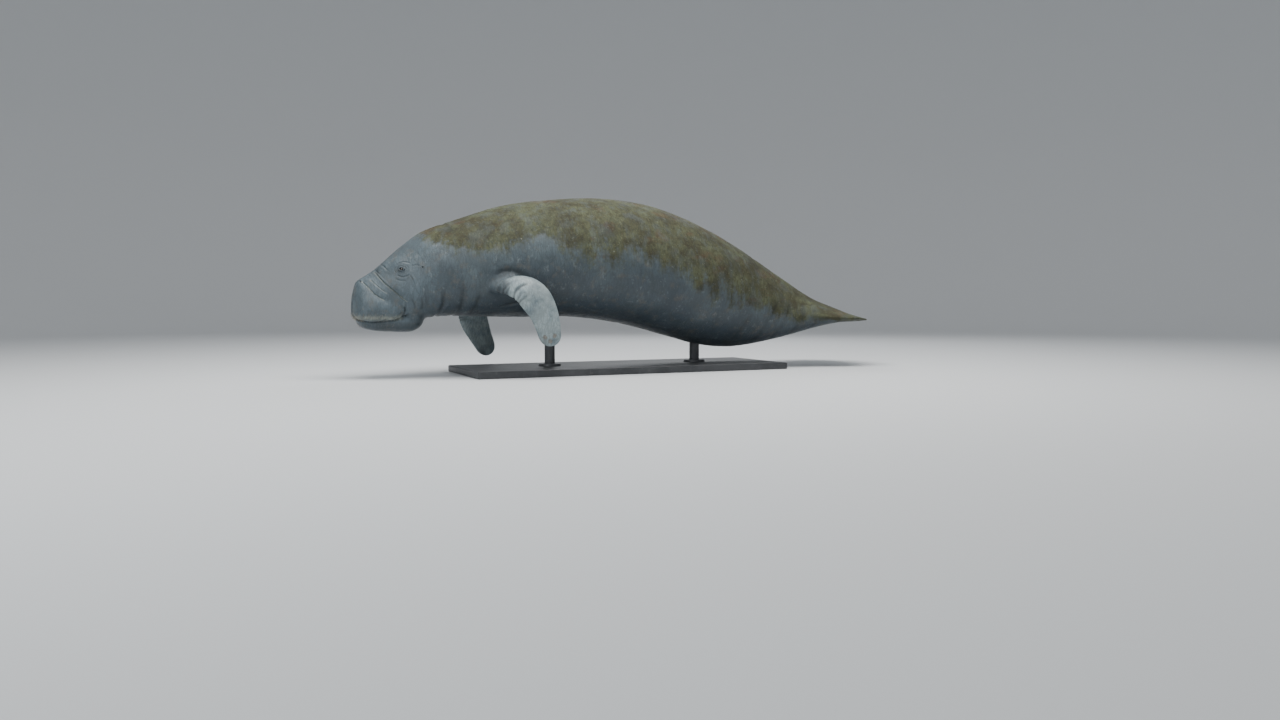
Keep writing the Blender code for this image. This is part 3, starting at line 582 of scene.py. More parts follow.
def skin_path(spots):
    """Close points along a smooth path that lies on the skin, in the measures from the snout."""
    spots = np.array(spots)
    knots = np.concatenate([[0], np.cumsum(np.linalg.norm(np.diff(spots, axis=0), axis=1))])
    along = smooth_curve(knots, spots)(even_places(0, knots[-1], PATH_STEP))
    path = measured_from_snout(np.array([tuple(on_skin(*spot)[0]) for spot in along]))
    padded = np.pad(path, ((PATH_SMOOTHING // 2,) * 2, (0, 0)), mode="edge")
    share = np.full(PATH_SMOOTHING, 1 / PATH_SMOOTHING)
    return np.column_stack([np.convolve(padded[:, axis], share, "valid") for axis in range(3)])


def refine(mesh, chosen):
    """Cuts the triangles round the chosen points into four."""
    made = bmesh.new()
    made.from_mesh(mesh)
    made.verts.ensure_lookup_table()
    edges = [edge for edge in made.edges if chosen[edge.verts[0].index] and chosen[edge.verts[1].index]]
    bmesh.ops.subdivide_edges(made, edges=edges, cuts=1, use_grid_fill=True)
    bmesh.ops.triangulate(made, faces=[face for face in made.faces if len(face.verts) > 3])
    made.to_mesh(mesh)
    made.free()


def near_creases(points, names, widths):
    """Which points lie within so many widths of any of the creases, and within 2 mm more."""
    found = np.zeros(len(points), bool)
    for name in names:
        reach = widths * CREASES[name][0] + 0.002
        found |= distance_to(points, crease_paths[name], reach) < reach
    return found


def edge_length(mesh):
    """The mean length of the edges that meet at each point."""
    points, ends = points_of(mesh), rows_of(mesh.edges, "vertices", 2, np.int64)
    long = np.linalg.norm(points[ends[:, 0]] - points[ends[:, 1]], axis=1)
    count = np.bincount(ends.ravel(), minlength=len(points))
    return np.bincount(ends.ravel(), np.repeat(long, 2), len(points)) / np.maximum(count, 1)


crease_paths = {name: skin_path(row[2:]) for name, row in CREASES.items()}


# The eyes' sockets, nostrils and ears
# Small eyes sit deep in puckered rings of skin, the nostrils are two crescent valves on top of the snout,
# and the ears are pinholes. All of them are formed in the same hide.
NOSTRIL_AT, EAR_AT = (0.024, 0.040, 0.478), (0.325, 0.150, 0.545)
LID_LONG, LID_HIGH = 1.22, 0.80
LID_RING, LID_WIDTH, LID_HEIGHT = 0.0108, 0.0030, 0.0042
SOCKET_EDGE, SOCKET_DEEP = (0.0058, 0.0082), 0.0150
EYE_WRINKLES, WRINKLE_WIDTH = ((0.0172, 0.0016, 0.3), (0.0228, 0.0013, 1.9), (0.0300, 0.0010, 3.4)), 0.0017
PUCKER_RING, PUCKER_WIDTH, PUCKER_HEIGHT = 0.0178, 0.0055, 0.0006
NOSTRIL_ARC, NOSTRIL_SLIT, NOSTRIL_DEEP, NOSTRIL_TURN = 0.0105, 0.0021, 0.0085, 1.45
VALVE_WIDTH, VALVE_HEIGHT = 0.0065, 0.0018
RIM_RING, RIM_WIDTH, RIM_HEIGHT = 0.0165, 0.0040, 0.0012
EAR_WIDTH, EAR_DEEP, EAR_DARK = 0.0026, 0.0060, 0.0030
EAR_RING, EAR_RING_WIDTH, EAR_RING_HEIGHT = 0.0060, 0.0025, 0.0009
MOUTH_WIDTH, MOUTH_DEEP, MOUTH_END = 0.0045, 0.0055, 0.285
EYE_REACH, SMALL_REACH = 0.06, 0.03

eye_centre = measured_from_snout(np.array([np.mean(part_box("eye_right"), axis=0)]))[0]
spots = {"eye": on_skin(*eye_centre), "nostril": on_skin(*NOSTRIL_AT), "ear": on_skin(*EAR_AT)}
for reach, by_creases in ((0.046, True), (0.027, False), (0.017, False)):
    measured = measured_from_snout(points_of(skin.data))
    chosen = np.zeros(len(measured), bool)
    if by_creases:
        shoulders = np.vstack(shoulder_lines)
        by_shoulders = distance_to(points_of(skin.data), shoulders, SHOULDER_FINE) < SHOULDER_FINE
        by_wide = near_creases(measured, [name for name in CREASES if name.startswith(FINE_AT)], 1.6)
        chosen = near_creases(measured, [name for name, row in CREASES.items() if row[0] < FINE_CREASE], 3.0)
        chosen |= (edge_length(skin.data) > COARSE_EDGE) & (by_shoulders | by_wide)
    for name, share in (("eye", 1.0), ("nostril", 0.62), ("ear", 0.30)):
        centre = measured_from_snout(np.array([tuple(spots[name][0])]))[0]
        chosen |= np.linalg.norm(measured - centre, axis=1) < reach * share
    refine(skin.data, chosen)
relax(skin.data, (points_of(skin.data)[:, 0] < SNOUT_X + 0.36) * 0.5, 1)


def around_spot(points, spot):
    """Level and upward distance, and distance from the spot, in the plane of the skin on the right side."""
    centre, normal = (np.array(tuple(value)) for value in spot)
    level = unit(np.cross((0, 0, 1), normal)[None])[0]
    off = points - centre
    return off @ level, off @ np.cross(normal, level), np.linalg.norm(off, axis=1)


def eased(value, low, high):
    """0 below low and 1 above high, with a smooth step between."""
    share = np.clip((value - low) / (high - low), 0, 1)
    return share * share * (3 - 2 * share)


skin_points, skin_normals = points_of(skin.data), rows_of(skin.data.vertex_normals, "vector", 3)
right_side = skin_points * np.where(skin_points[:, 1:2] < 0, (1, -1, 1), (1, 1, 1))
measured = measured_from_snout(skin_points)
# crease gathers how deep each point lies in a crease, groove or hole, for the painted shade there.
push, crease = np.zeros(len(skin_points)), np.zeros(len(skin_points))
for name, (width, depth, *_) in CREASES.items():
    path, reach = crease_paths[name], width * CREASE_REACH
    away = distance_to(measured, path, reach)
    close = np.flatnonzero((away < reach) & ((skin_points[:, 1] < 0) | (name not in LEFT_ONLY)))
    tree = tree_of(path)
    place = np.array([tree.find(measured[i])[1] for i in close]) / max(1, len(path) - 1)
    from_middle = path[0][1] < FROM_MIDDLE
    fade = eased(1 - place, -0.02, 0.25) if from_middle else eased(np.minimum(place, 1 - place), -0.02, 0.22)
    near = away[close] / width
    groove = bell(near, 1) * fade
    push[close] -= depth * (groove - CREASE_LIP * bell(near - CREASE_LIP_AT, 1) * fade)
    crease[close] = np.maximum(crease[close], groove * min(1.0, depth / DEEP_CREASE))

level, upward, away = around_spot(right_side, spots["eye"])
turn = np.arctan2(upward, level)
oval = np.hypot(level / LID_LONG, upward / LID_HIGH)
push += LID_HEIGHT * bell(oval - LID_RING, LID_WIDTH)
push -= SOCKET_DEEP * (1 - eased(oval, *SOCKET_EDGE)) * (away < SMALL_REACH)
for ring, depth, phase in EYE_WRINKLES:
    wave = 0.25 + 0.75 * np.cos(turn + phase) ** 2
    off_ring = oval - ring - 0.0012 * np.sin(3 * turn + phase) - 0.0008 * np.sin(5 * turn + 2 * phase)
    groove = bell(off_ring, WRINKLE_WIDTH) * wave * (away < EYE_REACH)
    push -= depth * groove
    crease = np.maximum(crease, 0.6 * groove)
pucker = bell(oval - PUCKER_RING, PUCKER_WIDTH) * (away < EYE_REACH)
push += PUCKER_HEIGHT * np.cos(17 * turn + 2.5 * np.sin(2 * turn) + np.sin(5 * turn)) * pucker
# How near the eye, for the painted shade round it.
by_eye = bell(away, 0.030)

level, upward, away = around_spot(right_side, spots["nostril"])
turn, ring = np.arctan2(upward, level), np.hypot(level, upward)
past_end = NOSTRIL_ARC * np.clip(np.abs(turn - math.pi / 2) - NOSTRIL_TURN, 0, None)
groove = bell(np.hypot(ring - NOSTRIL_ARC, past_end), NOSTRIL_SLIT) * (away < SMALL_REACH)
push -= NOSTRIL_DEEP * groove
push += VALVE_HEIGHT * bell(away, VALVE_WIDTH)
rim = bell(ring - RIM_RING, RIM_WIDTH)
push += RIM_HEIGHT * rim * (away < SMALL_REACH) * eased(upward, -0.010, 0.006)
crease = np.maximum(crease, groove)

level, upward, away = around_spot(right_side, spots["ear"])
push -= EAR_DEEP * bell(away, EAR_WIDTH) - EAR_RING_HEIGHT * bell(away - EAR_RING, EAR_RING_WIDTH)
# Painted shade in the ear's pinhole.
crease = np.maximum(crease, bell(away, EAR_DARK))

mouth_depth = MOUTH_DEEP * eased(MOUTH_END - measured[:, 0], 0.0, 0.05)
groove = bell(distance_to(skin_points, mouth_line, SMALL_REACH), MOUTH_WIDTH)
push -= mouth_depth * groove
crease = np.maximum(crease, groove * mouth_depth / MOUTH_DEEP)


# Loose and weathered hide all over
# Broad soft undulations lie under the whole skin, with finer wrinkles that run round the body. Where the
# stand's rods carry the belly, the hide lies flat on them.
noise.seed_set(7)
FORM_STEP, FORM_AROUND = 0.010, 256
ROD_REST, ROD_PRESS = (0.036, 0.110), 0.0006
BROAD, SMALLER, DENTS = (3.1, 0.0044), (8.5, 0.0020), (17, 0.28, 0.0060)
RIPPLES, FINE_RIPPLES, PADDLE_WAVE = ((34, 11, 9), 0.0012), ((75, 30, 26), 0.0005), (5.0, 5.5, 0.010)
form_places = even_places(0, body_form.length, FORM_STEP)
form_points = body_form.rings(form_places, FORM_AROUND).reshape(-1, 3)
form_tree = tree_of(form_points)


def on_form(points):
    """How far along the body each point lies, and its turn about the body from the right over the back."""
    nearest = np.array([form_tree.find(point)[1] for point in points])
    return form_places[nearest // FORM_AROUND], nearest % FORM_AROUND / FORM_AROUND


_, body_turn = on_form(skin_points)
upright = np.sin(body_turn * 2 * math.pi)
near_head = 1 - eased(measured[:, 0], 0.30, 0.55)
in_paddle = eased(measured[:, 0], 2.45, 2.80)
lift = np.zeros(len(skin_points))
for i, point in enumerate(skin_points):
    spot = Vector(point)
    soft = noise.noise(spot * BROAD[0]) * BROAD[1]
    soft += noise.noise(spot * SMALLER[0] + Vector((4, 0, 0))) * SMALLER[1]
    ripple = 0.5 - abs(noise.noise(spot * Vector(RIPPLES[0])))
    fine_ripple = 0.5 - abs(noise.noise(spot * Vector(FINE_RIPPLES[0]) + Vector((9, 0, 0))))
    dents = max(0.0, noise.noise(spot * DENTS[0] + Vector((0, 7, 0))) - DENTS[1]) * DENTS[2]
    push[i] += soft * (1 - 0.75 * near_head[i]) * (1 - 0.8 * in_paddle[i])
    push[i] += (ripple * RIPPLES[1] + fine_ripple * FINE_RIPPLES[1]) * (1 - 0.5 * near_head[i])
    push[i] -= dents * (1 - near_head[i]) * (1 - in_paddle[i])
    wave_at = Vector((point[0] * PADDLE_WAVE[0], point[1] * PADDLE_WAVE[1], 3))
    lift[i] = noise.noise(wave_at) * PADDLE_WAVE[2] * in_paddle[i]
for name in ("stand_rod_front", "stand_rod_rear"):
    rod_low, rod_high = np.array(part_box(name))
    off_rod = np.linalg.norm(skin_points[:, :2] - (rod_low + rod_high)[:2] / 2, axis=1)
    on_rod = (1 - eased(off_rod, *ROD_REST)) * (upright < 0)
    push += (ROD_PRESS - push) * on_rod


# Details of the flippers
# The hide gathers in scalloped creases inside the bent elbow and wrinkles over the wrist, the finger bones
# show as low ridges, and a thick cuticle stands round each of the three nails.
NAIL_PLACES = ((-0.42, 0.900), (0.00, 0.945), (0.42, 0.900))
ELBOW_AT, ELBOW_STEP, ELBOW_WIDTH = 0.205, 0.052, 0.0100
ELBOW_STARTS = (0.30, -0.20, 0.10, -0.75, 0.25, 0.05)
ELBOW_DEPTHS = (0.0044, 0.0046, 0.0048, 0.0070, 0.0038, 0.0034)
WRIST_AT, WRIST_STEP, WRIST_COUNT, WRIST_WIDTH, WRIST_DEEP = 0.47, 0.055, 6, 0.0075, 0.0011
FINGER_HEIGHT, FINGER_TURNS = 0.0014, 2.6
CUTICLE_RING, CUTICLE_WIDTH, CUTICLE_HEIGHT = 0.0128, 0.0030, 0.0017
NAIL_BED, NAIL_BED_DEEP = 0.0090, 0.0020
NAIL_FOLD, NAIL_FOLD_WIDTH = 0.0108, 0.0016
arm, tip_shade = np.zeros(len(skin_points)), np.zeros(len(skin_points))
nail_spots = {}
for side, flipper in flippers.items():
    places = even_places(0, flipper.length, 0.004)
    centre, breadth, face, wide, thick = flipper.frame(places)
    tree = tree_of(centre)
    low, high = centre.min(0) - 0.13, centre.max(0) + 0.13
    own = np.flatnonzero(np.all((skin_points > low) & (skin_points < high), axis=1))
    nearest = np.array([tree.find(skin_points[i])[1] for i in own])
    off = skin_points[own] - centre[nearest]
    across = np.sum(off * breadth[nearest], axis=1) / (wide[nearest, 0] / 2)
    out = np.sum(off * face[nearest], axis=1) / (thick[nearest, 0] / 2)
    along = places[nearest] / flipper.length
    radius = (np.abs(across) ** FLIPPER_POWER + np.abs(out) ** FLIPPER_POWER) ** (1 / FLIPPER_POWER)
    share = (1 - eased(radius, 1.10, 1.34)) * eased(along, 0.08, 0.24)
    arm[own] = np.maximum(arm[own], (1 - eased(radius, 1.02, 1.14)) * eased(along, 0.17, 0.40))
    inner = across if side == "left" else -across
    # Painted shade on the inner side of the flipper's tip.
    tip_shade[own] = share * eased(along, 0.86, 0.97) * eased(inner, -0.2, 0.7)
    for number, (starts, deep) in enumerate(zip(ELBOW_STARTS, ELBOW_DEPTHS)):
        at = ELBOW_AT + ELBOW_STEP * number + 0.012 * math.sin(number * 2.3)
        bowed = at + 0.034 * (1 - inner) + 0.008 * np.sin(3.0 * across + number)
        groove = bell(along - bowed, ELBOW_WIDTH) * eased(inner, starts, starts + 0.70) * share
        push[own] -= deep * groove
        crease[own] = np.maximum(crease[own], groove)
    for number in range(WRIST_COUNT):
        at = WRIST_AT + WRIST_STEP * number
        groove = bell(along - at - 0.02 * np.sin(4 * across + number), WRIST_WIDTH) * share
        groove *= 0.55 + 0.45 * np.sin(7 * across + 2.1 * number)
        push[own] -= WRIST_DEEP * groove
    fingers = eased(along, 0.58, 0.78) * (1 - eased(along, 0.93, 1.0)) * (np.abs(across) < 0.9) * share
    push[own] += FINGER_HEIGHT * fingers * np.cos(across * math.pi * FINGER_TURNS)
    push[own] *= 1 - 0.6 * eased(along, 0.80, 1.0) * share
    for number, (across_at, share_at) in enumerate(NAIL_PLACES, start=1):
        middle, level, outward, width, depth = (row[0] for row in flipper.frame(flipper.length * share_at))
        closing = end_rounding(flipper.length * (1 - share_at), FLIPPER_ROUNDING)
        bulge = (1 - abs(across_at) ** FLIPPER_POWER) ** (1 / FLIPPER_POWER)
        spot = middle + level * across_at * closing * width / 2 + outward * closing * bulge * depth / 2
        nail_spots[f"nail_{side}_{number}"] = (spot, outward)
        off_nail = skin_points[own] - spot
        flat = np.linalg.norm(off_nail - np.outer(off_nail @ outward, outward), axis=1)
        cuticle = bell(flat - CUTICLE_RING, CUTICLE_WIDTH) * (out > 0) * (flat < SMALL_REACH)
        push[own] += CUTICLE_HEIGHT * cuticle - NAIL_BED_DEEP * (flat < NAIL_BED) * (out > 0)
        crease[own] = np.maximum(crease[own], 0.7 * bell(flat - NAIL_FOLD, NAIL_FOLD_WIDTH) * (out > 0))

skin_points += skin_normals * push[:, None]
skin_points[:, 2] += lift
put_points(skin.data, skin_points)
skin.data.shade_smooth()


# The colour of the hide
# Slate-grey hide with painted shade that makes it darker below, a ragged olive-brown film of algae over the
# back, bare skin on head and flippers, pale lines in the muzzle's folds and a pale band along the lip pads.
# Painted shade also darkens the chin, the eyes' surroundings, the inner side of the flipper tips and the
# creases, and the flippers' pale grey is partly painted light.
FILM_EDGE = (
    (0.25, 1.30), (0.30, 0.98), (0.38, 0.80), (0.48, 0.66), (0.60, 0.56),
    (0.90, 0.47), (1.50, 0.40), (2.30, 0.37), (2.55, 0.28), (2.80, 0.18),
)
PATCH_AT, PATCH_WIDTH, PATCH_BARE = (0.86, 0.27, 0.630), 0.090, 0.26
PALE_LINES = (("muzzle_line", 0.55), ("cheek_line", 0.65), ("between_line", 0.35))
LINE_WIDTH, LINE_REACH = 0.0026, 0.012
BAND_HEIGHT, BAND_WIDTH, BAND_PALE = 0.302, 0.011, 0.75
CHIN_SHADE, EYE_SHADE, TIP_SHADE = 0.75, 0.55, 0.6

rise = np.where(upright > 0, 0.45 + 0.55 * upright, 0.45 + 0.45 * upright)
film = rise - np.interp(measured[:, 0], *zip(*FILM_EDGE))
film -= PATCH_BARE * bell(np.linalg.norm(measured - PATCH_AT, axis=1), PATCH_WIDTH)
film = np.where(arm > 0.02, film - 0.9 * arm, film)
pale = np.zeros(len(film))
for name, strength in PALE_LINES:
    away = distance_to(measured, crease_paths[name], LINE_REACH)
    pale = np.maximum(pale, strength * bell(away, LINE_WIDTH) * (away < LINE_REACH))
on_pad = (measured[:, 2] > 0.2835) * (1 - eased(measured[:, 0], 0.212, 0.236)) * (measured[:, 1] > 0.02)
band = bell(measured[:, 2] - BAND_HEIGHT, BAND_WIDTH) * on_pad
pale = np.maximum(pale, BAND_PALE * band)
# Painted shade under the chin, round the eyes and on the inner side of the flipper tips.
chin = (1 - eased(measured[:, 2], 0.270, 0.288)) * (1 - eased(measured[:, 0], 0.30, 0.42))
shade = np.clip(np.maximum(chin * CHIN_SHADE, EYE_SHADE * by_eye), 0, 1)
shade = np.maximum(shade, TIP_SHADE * tip_shade)
on_face = 1 - eased(measured[:, 0] + 0.10 * (0.5 - rise), 0.26, 0.50)


def put_values(mesh, **values):
    """Keeps values at the mesh's points for the materials to read."""
    for name, each in values.items():
        mesh.attributes.new(name, "FLOAT", "POINT").data.foreach_set("value", np.asarray(each, np.float32))


put_values(skin.data, film=film, fold=crease, arm=arm, pale=pale, rise=rise, shade=shade, face=on_face)


class Recipe:
    """The shader nodes of one material or node group, over the coordinates that it is given."""

    def __init__(self, tree, where):
        self.tree, self.where = tree, where

    def give(self, value, socket):
        """Wires a socket to another one or sets its value."""
        if isinstance(value, bpy.types.NodeSocket):
            self.tree.links.new(value, socket)
        else:
            socket.default_value = (*value, 1) if socket.type == "RGBA" else value

    def node(self, kind, inputs=None, **settings):
        """Adds a node with its settings and inputs, and gives back its outputs."""
        made = self.tree.nodes.new("ShaderNode" + kind)
        for name, value in settings.items():
            setattr(made, name, value)
        for name, value in (inputs or {}).items():
            self.give(value, made.inputs[name])
        return made.outputs

    def group(self, recipe, **inputs):
        return self.node("Group", {"Where": self.where, **inputs}, node_tree=recipe.tree)

    def maths(self, operation, first, second):
        return self.node("Math", {0: first, 1: second}, operation=operation)[0]

    def plus(self, first, second):
        return self.maths("ADD", first, second)

    def times(self, first, second):
        return self.maths("MULTIPLY", first, second)

    def mixed(self, share, first, second):
        return self.node("Mix", {0: share, 6: first, 7: second}, data_type="RGBA")[2]

    def ramped(self, value, low, high, low_value=0.0, high_value=1.0):
        """Eases from one value to the other between low and high."""
        inputs = {"Value": value, "From Min": low, "From Max": high}
        inputs.update({"To Min": low_value, "To Max": high_value})
        return self.node("MapRange", inputs, interpolation_type="SMOOTHSTEP")["Result"]

    def blotches(self, scale, detail=4.0, rough=0.55, stretch=None):
        where = self.node("Mapping", {"Vector": self.where, "Scale": stretch})[0] if stretch else self.where
        inputs = {"Vector": where, "Scale": scale, "Detail": detail, "Roughness": rough}
        return self.node("TexNoise", inputs)[0]

    def patchy(self, spread, low, high, low_value=0.0, high_value=1.0):
        """Blotches eased from one value to the other: spread is scale, detail, roughness and stretch."""
        return self.ramped(self.blotches(*spread), low, high, low_value, high_value)

    def stained(self, colour, stains):
        """Lays stains over a colour: tint, spread, where each starts and is full, and greatest share."""
        for tint, spread, low, high, most in stains.values():
            colour = self.mixed(self.patchy(spread, low, high, 0.0, most), colour, tint)
        return colour

    def value_of(self, name):
        """The value that the mesh keeps at each point."""
        return self.node("Attribute", attribute_name=name)["Fac"]

    def bump(self, height, strength, distance):
        return self.node("Bump", {"Height": height, "Strength": strength, "Distance": distance})[0]


def new_group(name, takes, gives):
    """A node group over coordinates: its recipe, and its own inputs and outputs by name."""
    tree = bpy.data.node_groups.new(name, "ShaderNodeTree")
    for way, sockets in (("INPUT", {"Where": "Vector", **takes}), ("OUTPUT", gives)):
        for socket, kind in sockets.items():
            tree.interface.new_socket(socket, in_out=way, socket_type="NodeSocket" + kind)
    taken, given = tree.nodes.new("NodeGroupInput").outputs, tree.nodes.new("NodeGroupOutput").inputs
    return Recipe(tree, taken["Where"]), taken, given


def new_material(name):
    """A material, its recipe over the object's own coordinates, and its shader's inputs."""
    made = bpy.data.materials.new(name)
    made.use_nodes = True
    recipe = Recipe(made.node_tree, None)
    recipe.where = recipe.node("TexCoord")["Object"]
    return made, recipe, made.node_tree.nodes["Principled BSDF"].inputs


# Algae: streaks hang down from its edge, blotches thin it out, and its colour wanders from olive to brown.
DARK_OLIVE, OLIVE = (0.054, 0.052, 0.032), (0.090, 0.098, 0.058)
EDGE_WANDERS = {
    "streaks": ((17, 3, 0.62, (1, 1, 0.22)), 0.42),
    "bays": ((4.6, 4, 0.62), 0.52),
    "crumbs": ((60, 3, 0.7), 0.26),
}
FILM_STAINS = {
    "mud": ((0.042, 0.037, 0.023), (31, 3, 0.7), 0.50, 0.64, 0.54),
    "rust": ((0.102, 0.052, 0.030), (6.2, 3, 0.6, (1, 1, 2.2)), 0.54, 0.70, 0.34),
    "crumbs": ((0.144, 0.156, 0.100), (60, 3, 0.7), 0.56, 0.72, 0.45),
}
algae, takes, gives = new_group("algae_film", {"Rise": "Float"}, {"Share": "Float", "Colour": "Color"})
edge = takes["Rise"]
for spread, reach in EDGE_WANDERS.values():
    edge = algae.plus(edge, algae.times(algae.plus(algae.blotches(*spread), -0.5), reach))
thin = algae.patchy((15, 4, 0.68, (1, 1, 0.6)), 0.36, 0.54, 0.72)
algae.give(algae.times(algae.ramped(edge, -0.04, 0.16), thin), gives["Share"])
colour = algae.mixed(algae.patchy((8.5, 4, 0.66), 0.34, 0.68), DARK_OLIVE, OLIVE)
algae.give(algae.stained(colour, FILM_STAINS), gives["Colour"])

# Bare hide: slate grey with soft mottles, and painted shade that makes it darker on the belly.
SHADED_BELLY_SLATE, SIDE_SLATE, FACE_SLATE = (0.038, 0.053, 0.067), (0.084, 0.110, 0.122), (0.086, 0.117, 0.137)
HIDE_STAINS = {
    "mottles": ((0.050, 0.064, 0.072), (11, 4, 0.62), 0.45, 0.62, 0.45),
    "silt": ((0.128, 0.108, 0.080), (19, 3, 0.66), 0.52, 0.70, 0.36),
    "scuffs": ((0.250, 0.282, 0.286), (38, 4, 0.72, (1, 1, 0.5)), 0.57, 0.72, 0.34),
    "pores": ((0.030, 0.038, 0.042), (420, 1, 0.5), 0.56, 0.74, 0.40),
}
slate, takes, gives = new_group("slate_hide", {"Rise": "Float", "Face": "Float"}, {"Colour": "Color"})
wavy_rise = slate.plus(takes["Rise"], slate.patchy((5, 3), 0.0, 1.0, -0.28, 0.28))
colour = slate.mixed(slate.ramped(wavy_rise, 0.06, 0.72), SHADED_BELLY_SLATE, SIDE_SLATE)
colour = slate.mixed(slate.times(takes["Face"], 0.85), colour, FACE_SLATE)
slate.give(slate.stained(colour, HIDE_STAINS), gives["Colour"])

# Pale flecks, each a few millimetres across, that gather in places.
flecks, takes, gives = new_group("pale_flecks", {}, {"Share": "Float"})
cells = flecks.node("TexVoronoi", {"Vector": takes["Where"], "Scale": 21.0, "Randomness": 1.0})
size = flecks.ramped(flecks.node("SeparateColor", {0: cells["Color"]})[0], 0.72, 1.0, 0.0, 0.10)
inside = flecks.ramped(flecks.maths("SUBTRACT", size, cells["Distance"]), -0.02, 0.05)
flecks.give(flecks.times(inside, flecks.patchy((3.0, 2), 0.40, 0.60)), gives["Share"])

# Fine wrinkles that run round the body, a net of smaller ones across them, and a leathery grain.
GRAIN, GRAIN_DEEP, WRINKLE_DRIFT = (120, 4, 0.72), 0.55, (0.035, 0.035, 0.035)
WRINKLE_NETS = {"long": (34.0, (2.2, 0.6, 0.5), 0.42), "small": (120.0, (1.5, 0.9, 0.9), 0.20)}
wrinkles, takes, gives = new_group("hide_wrinkles", {}, {"Height": "Float"})
drift = wrinkles.node("TexNoise", {"Vector": takes["Where"], "Scale": 12.0, "Detail": 2.0})["Color"]
drift = wrinkles.node("VectorMath", {0: drift, 1: WRINKLE_DRIFT}, operation="MULTIPLY")[0]
bent = wrinkles.node("VectorMath", {0: takes["Where"], 1: drift}, operation="ADD")[0]
here_and_there = wrinkles.patchy((9, 2), 0.35, 0.62, 0.25)
height = wrinkles.times(wrinkles.blotches(*GRAIN), GRAIN_DEEP)
for scale, stretch, deep in WRINKLE_NETS.values():
    placed = wrinkles.node("Mapping", {"Vector": bent, "Scale": stretch})[0]
    net = wrinkles.node("TexVoronoi", {"Vector": placed, "Scale": scale}, feature="DISTANCE_TO_EDGE")
    cut = wrinkles.times(wrinkles.ramped(net["Distance"], 0.0, 0.20), deep)
    height = wrinkles.plus(height, wrinkles.times(cut, here_and_there))
wrinkles.give(height, gives["Height"])

# The flippers' pale grey is partly their own paler hide and partly painted light.
ARM_PALE_AND_LIT, ARM_GREY = (0.285, 0.342, 0.352), (0.160, 0.208, 0.230)
ARM_STAINS = {"pores": ((0.090, 0.115, 0.125), (300, 1, 0.5), 0.55, 0.75, 0.20)}
SHADE, PALE_LINE, FLECK = (0.028, 0.036, 0.042), (0.270, 0.292, 0.250), (0.300, 0.310, 0.270)
# Painted shade for the low points of the wrinkles and grain, and for the creases.
WRINKLE_SHADE, FOLD_SHADE = (0.022, 0.026, 0.028), (0.018, 0.022, 0.024)
hide, look, shader = new_material("hide")
film_over = look.group(algae, Rise=look.value_of("film"))
relief = look.group(wrinkles)["Height"]
arm_colour = look.stained(look.mixed(look.patchy((13, 4, 0.62), 0.40, 0.66), ARM_PALE_AND_LIT, ARM_GREY), ARM_STAINS)
arm_edge = look.plus(look.value_of("arm"), look.patchy((24,), 0.3, 0.7, -0.2, 0.2))
pale_here = look.value_of("pale")
# Painted shade in the creases, grooves and holes, with less of it where the pale lines run.
fold_shade_share = look.times(look.value_of("fold"), look.maths("SUBTRACT", 0.58, pale_here))
colour = look.group(slate, Rise=look.value_of("rise"), Face=look.value_of("face"))["Colour"]
for share, tint in (
    (look.ramped(arm_edge, 0.10, 0.75), arm_colour),
    (film_over["Share"], film_over["Colour"]),
    # Painted shade under the chin, round the eyes and on the flipper tips.
    (look.times(look.value_of("shade"), 0.72), SHADE),
    (look.times(pale_here, look.patchy((70, 4, 0.65), 0.30, 0.60, 0.35)), PALE_LINE),
    (look.times(look.group(flecks)["Share"], 0.45), FLECK),
    # Painted shade in the low points of the wrinkles and grain.
    (look.ramped(relief, 0.28, 0.62, 0.30, 0.0), WRINKLE_SHADE),
    # Painted shade in the creases, grooves and holes.
    (look.maths("MAXIMUM", fold_shade_share, 0.0), FOLD_SHADE),
):
    colour = look.mixed(share, colour, tint)
look.give(colour, shader["Base Color"])
gloss = look.patchy((48, 4, 0.6), 0.3, 0.7, -0.07, 0.07)
look.give(look.plus(gloss, look.ramped(film_over["Share"], 0.0, 1.0, 0.50, 0.82)), shader["Roughness"])
look.give(look.ramped(film_over["Share"], 0.0, 1.0, 0.38, 0.12), shader["Specular IOR Level"])
look.give(look.bump(relief, 0.55, 0.0022), shader["Normal"])
skin.data.materials.clear()
skin.data.materials.append(hide)
skin.data.polygons.foreach_set("material_index", np.zeros(len(skin.data.polygons), np.int32))

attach(skin, "root")
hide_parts("muzzle", "head", "lower_jaw", "neck", "chest", "belly", "tail_stock", "tail_paddle")
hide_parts("flipper_left_arm", "flipper_left_hand", "flipper_right_arm", "flipper_right_hand")


# The eyes
# Each is a small wet ball, dark brown round a black pupil. It sits deep between the lids.
EYE_RADIUS, CORNEA_BULGE = 0.0125, 0.0005
PUPIL_RADIUS, IRIS_RADIUS = 0.0026, 0.0064
EYE_RINGS, EYE_AROUND = 34, 56

IRIS_BROWNS = (0.010, 0.006, 0.004), (0.042, 0.024, 0.013)
EYE_WHITES = (0.034, 0.027, 0.024), (0.012, 0.010, 0.010)
IRIS_RING, PUPIL = (0.012, 0.009, 0.008), (0.002, 0.002, 0.002)

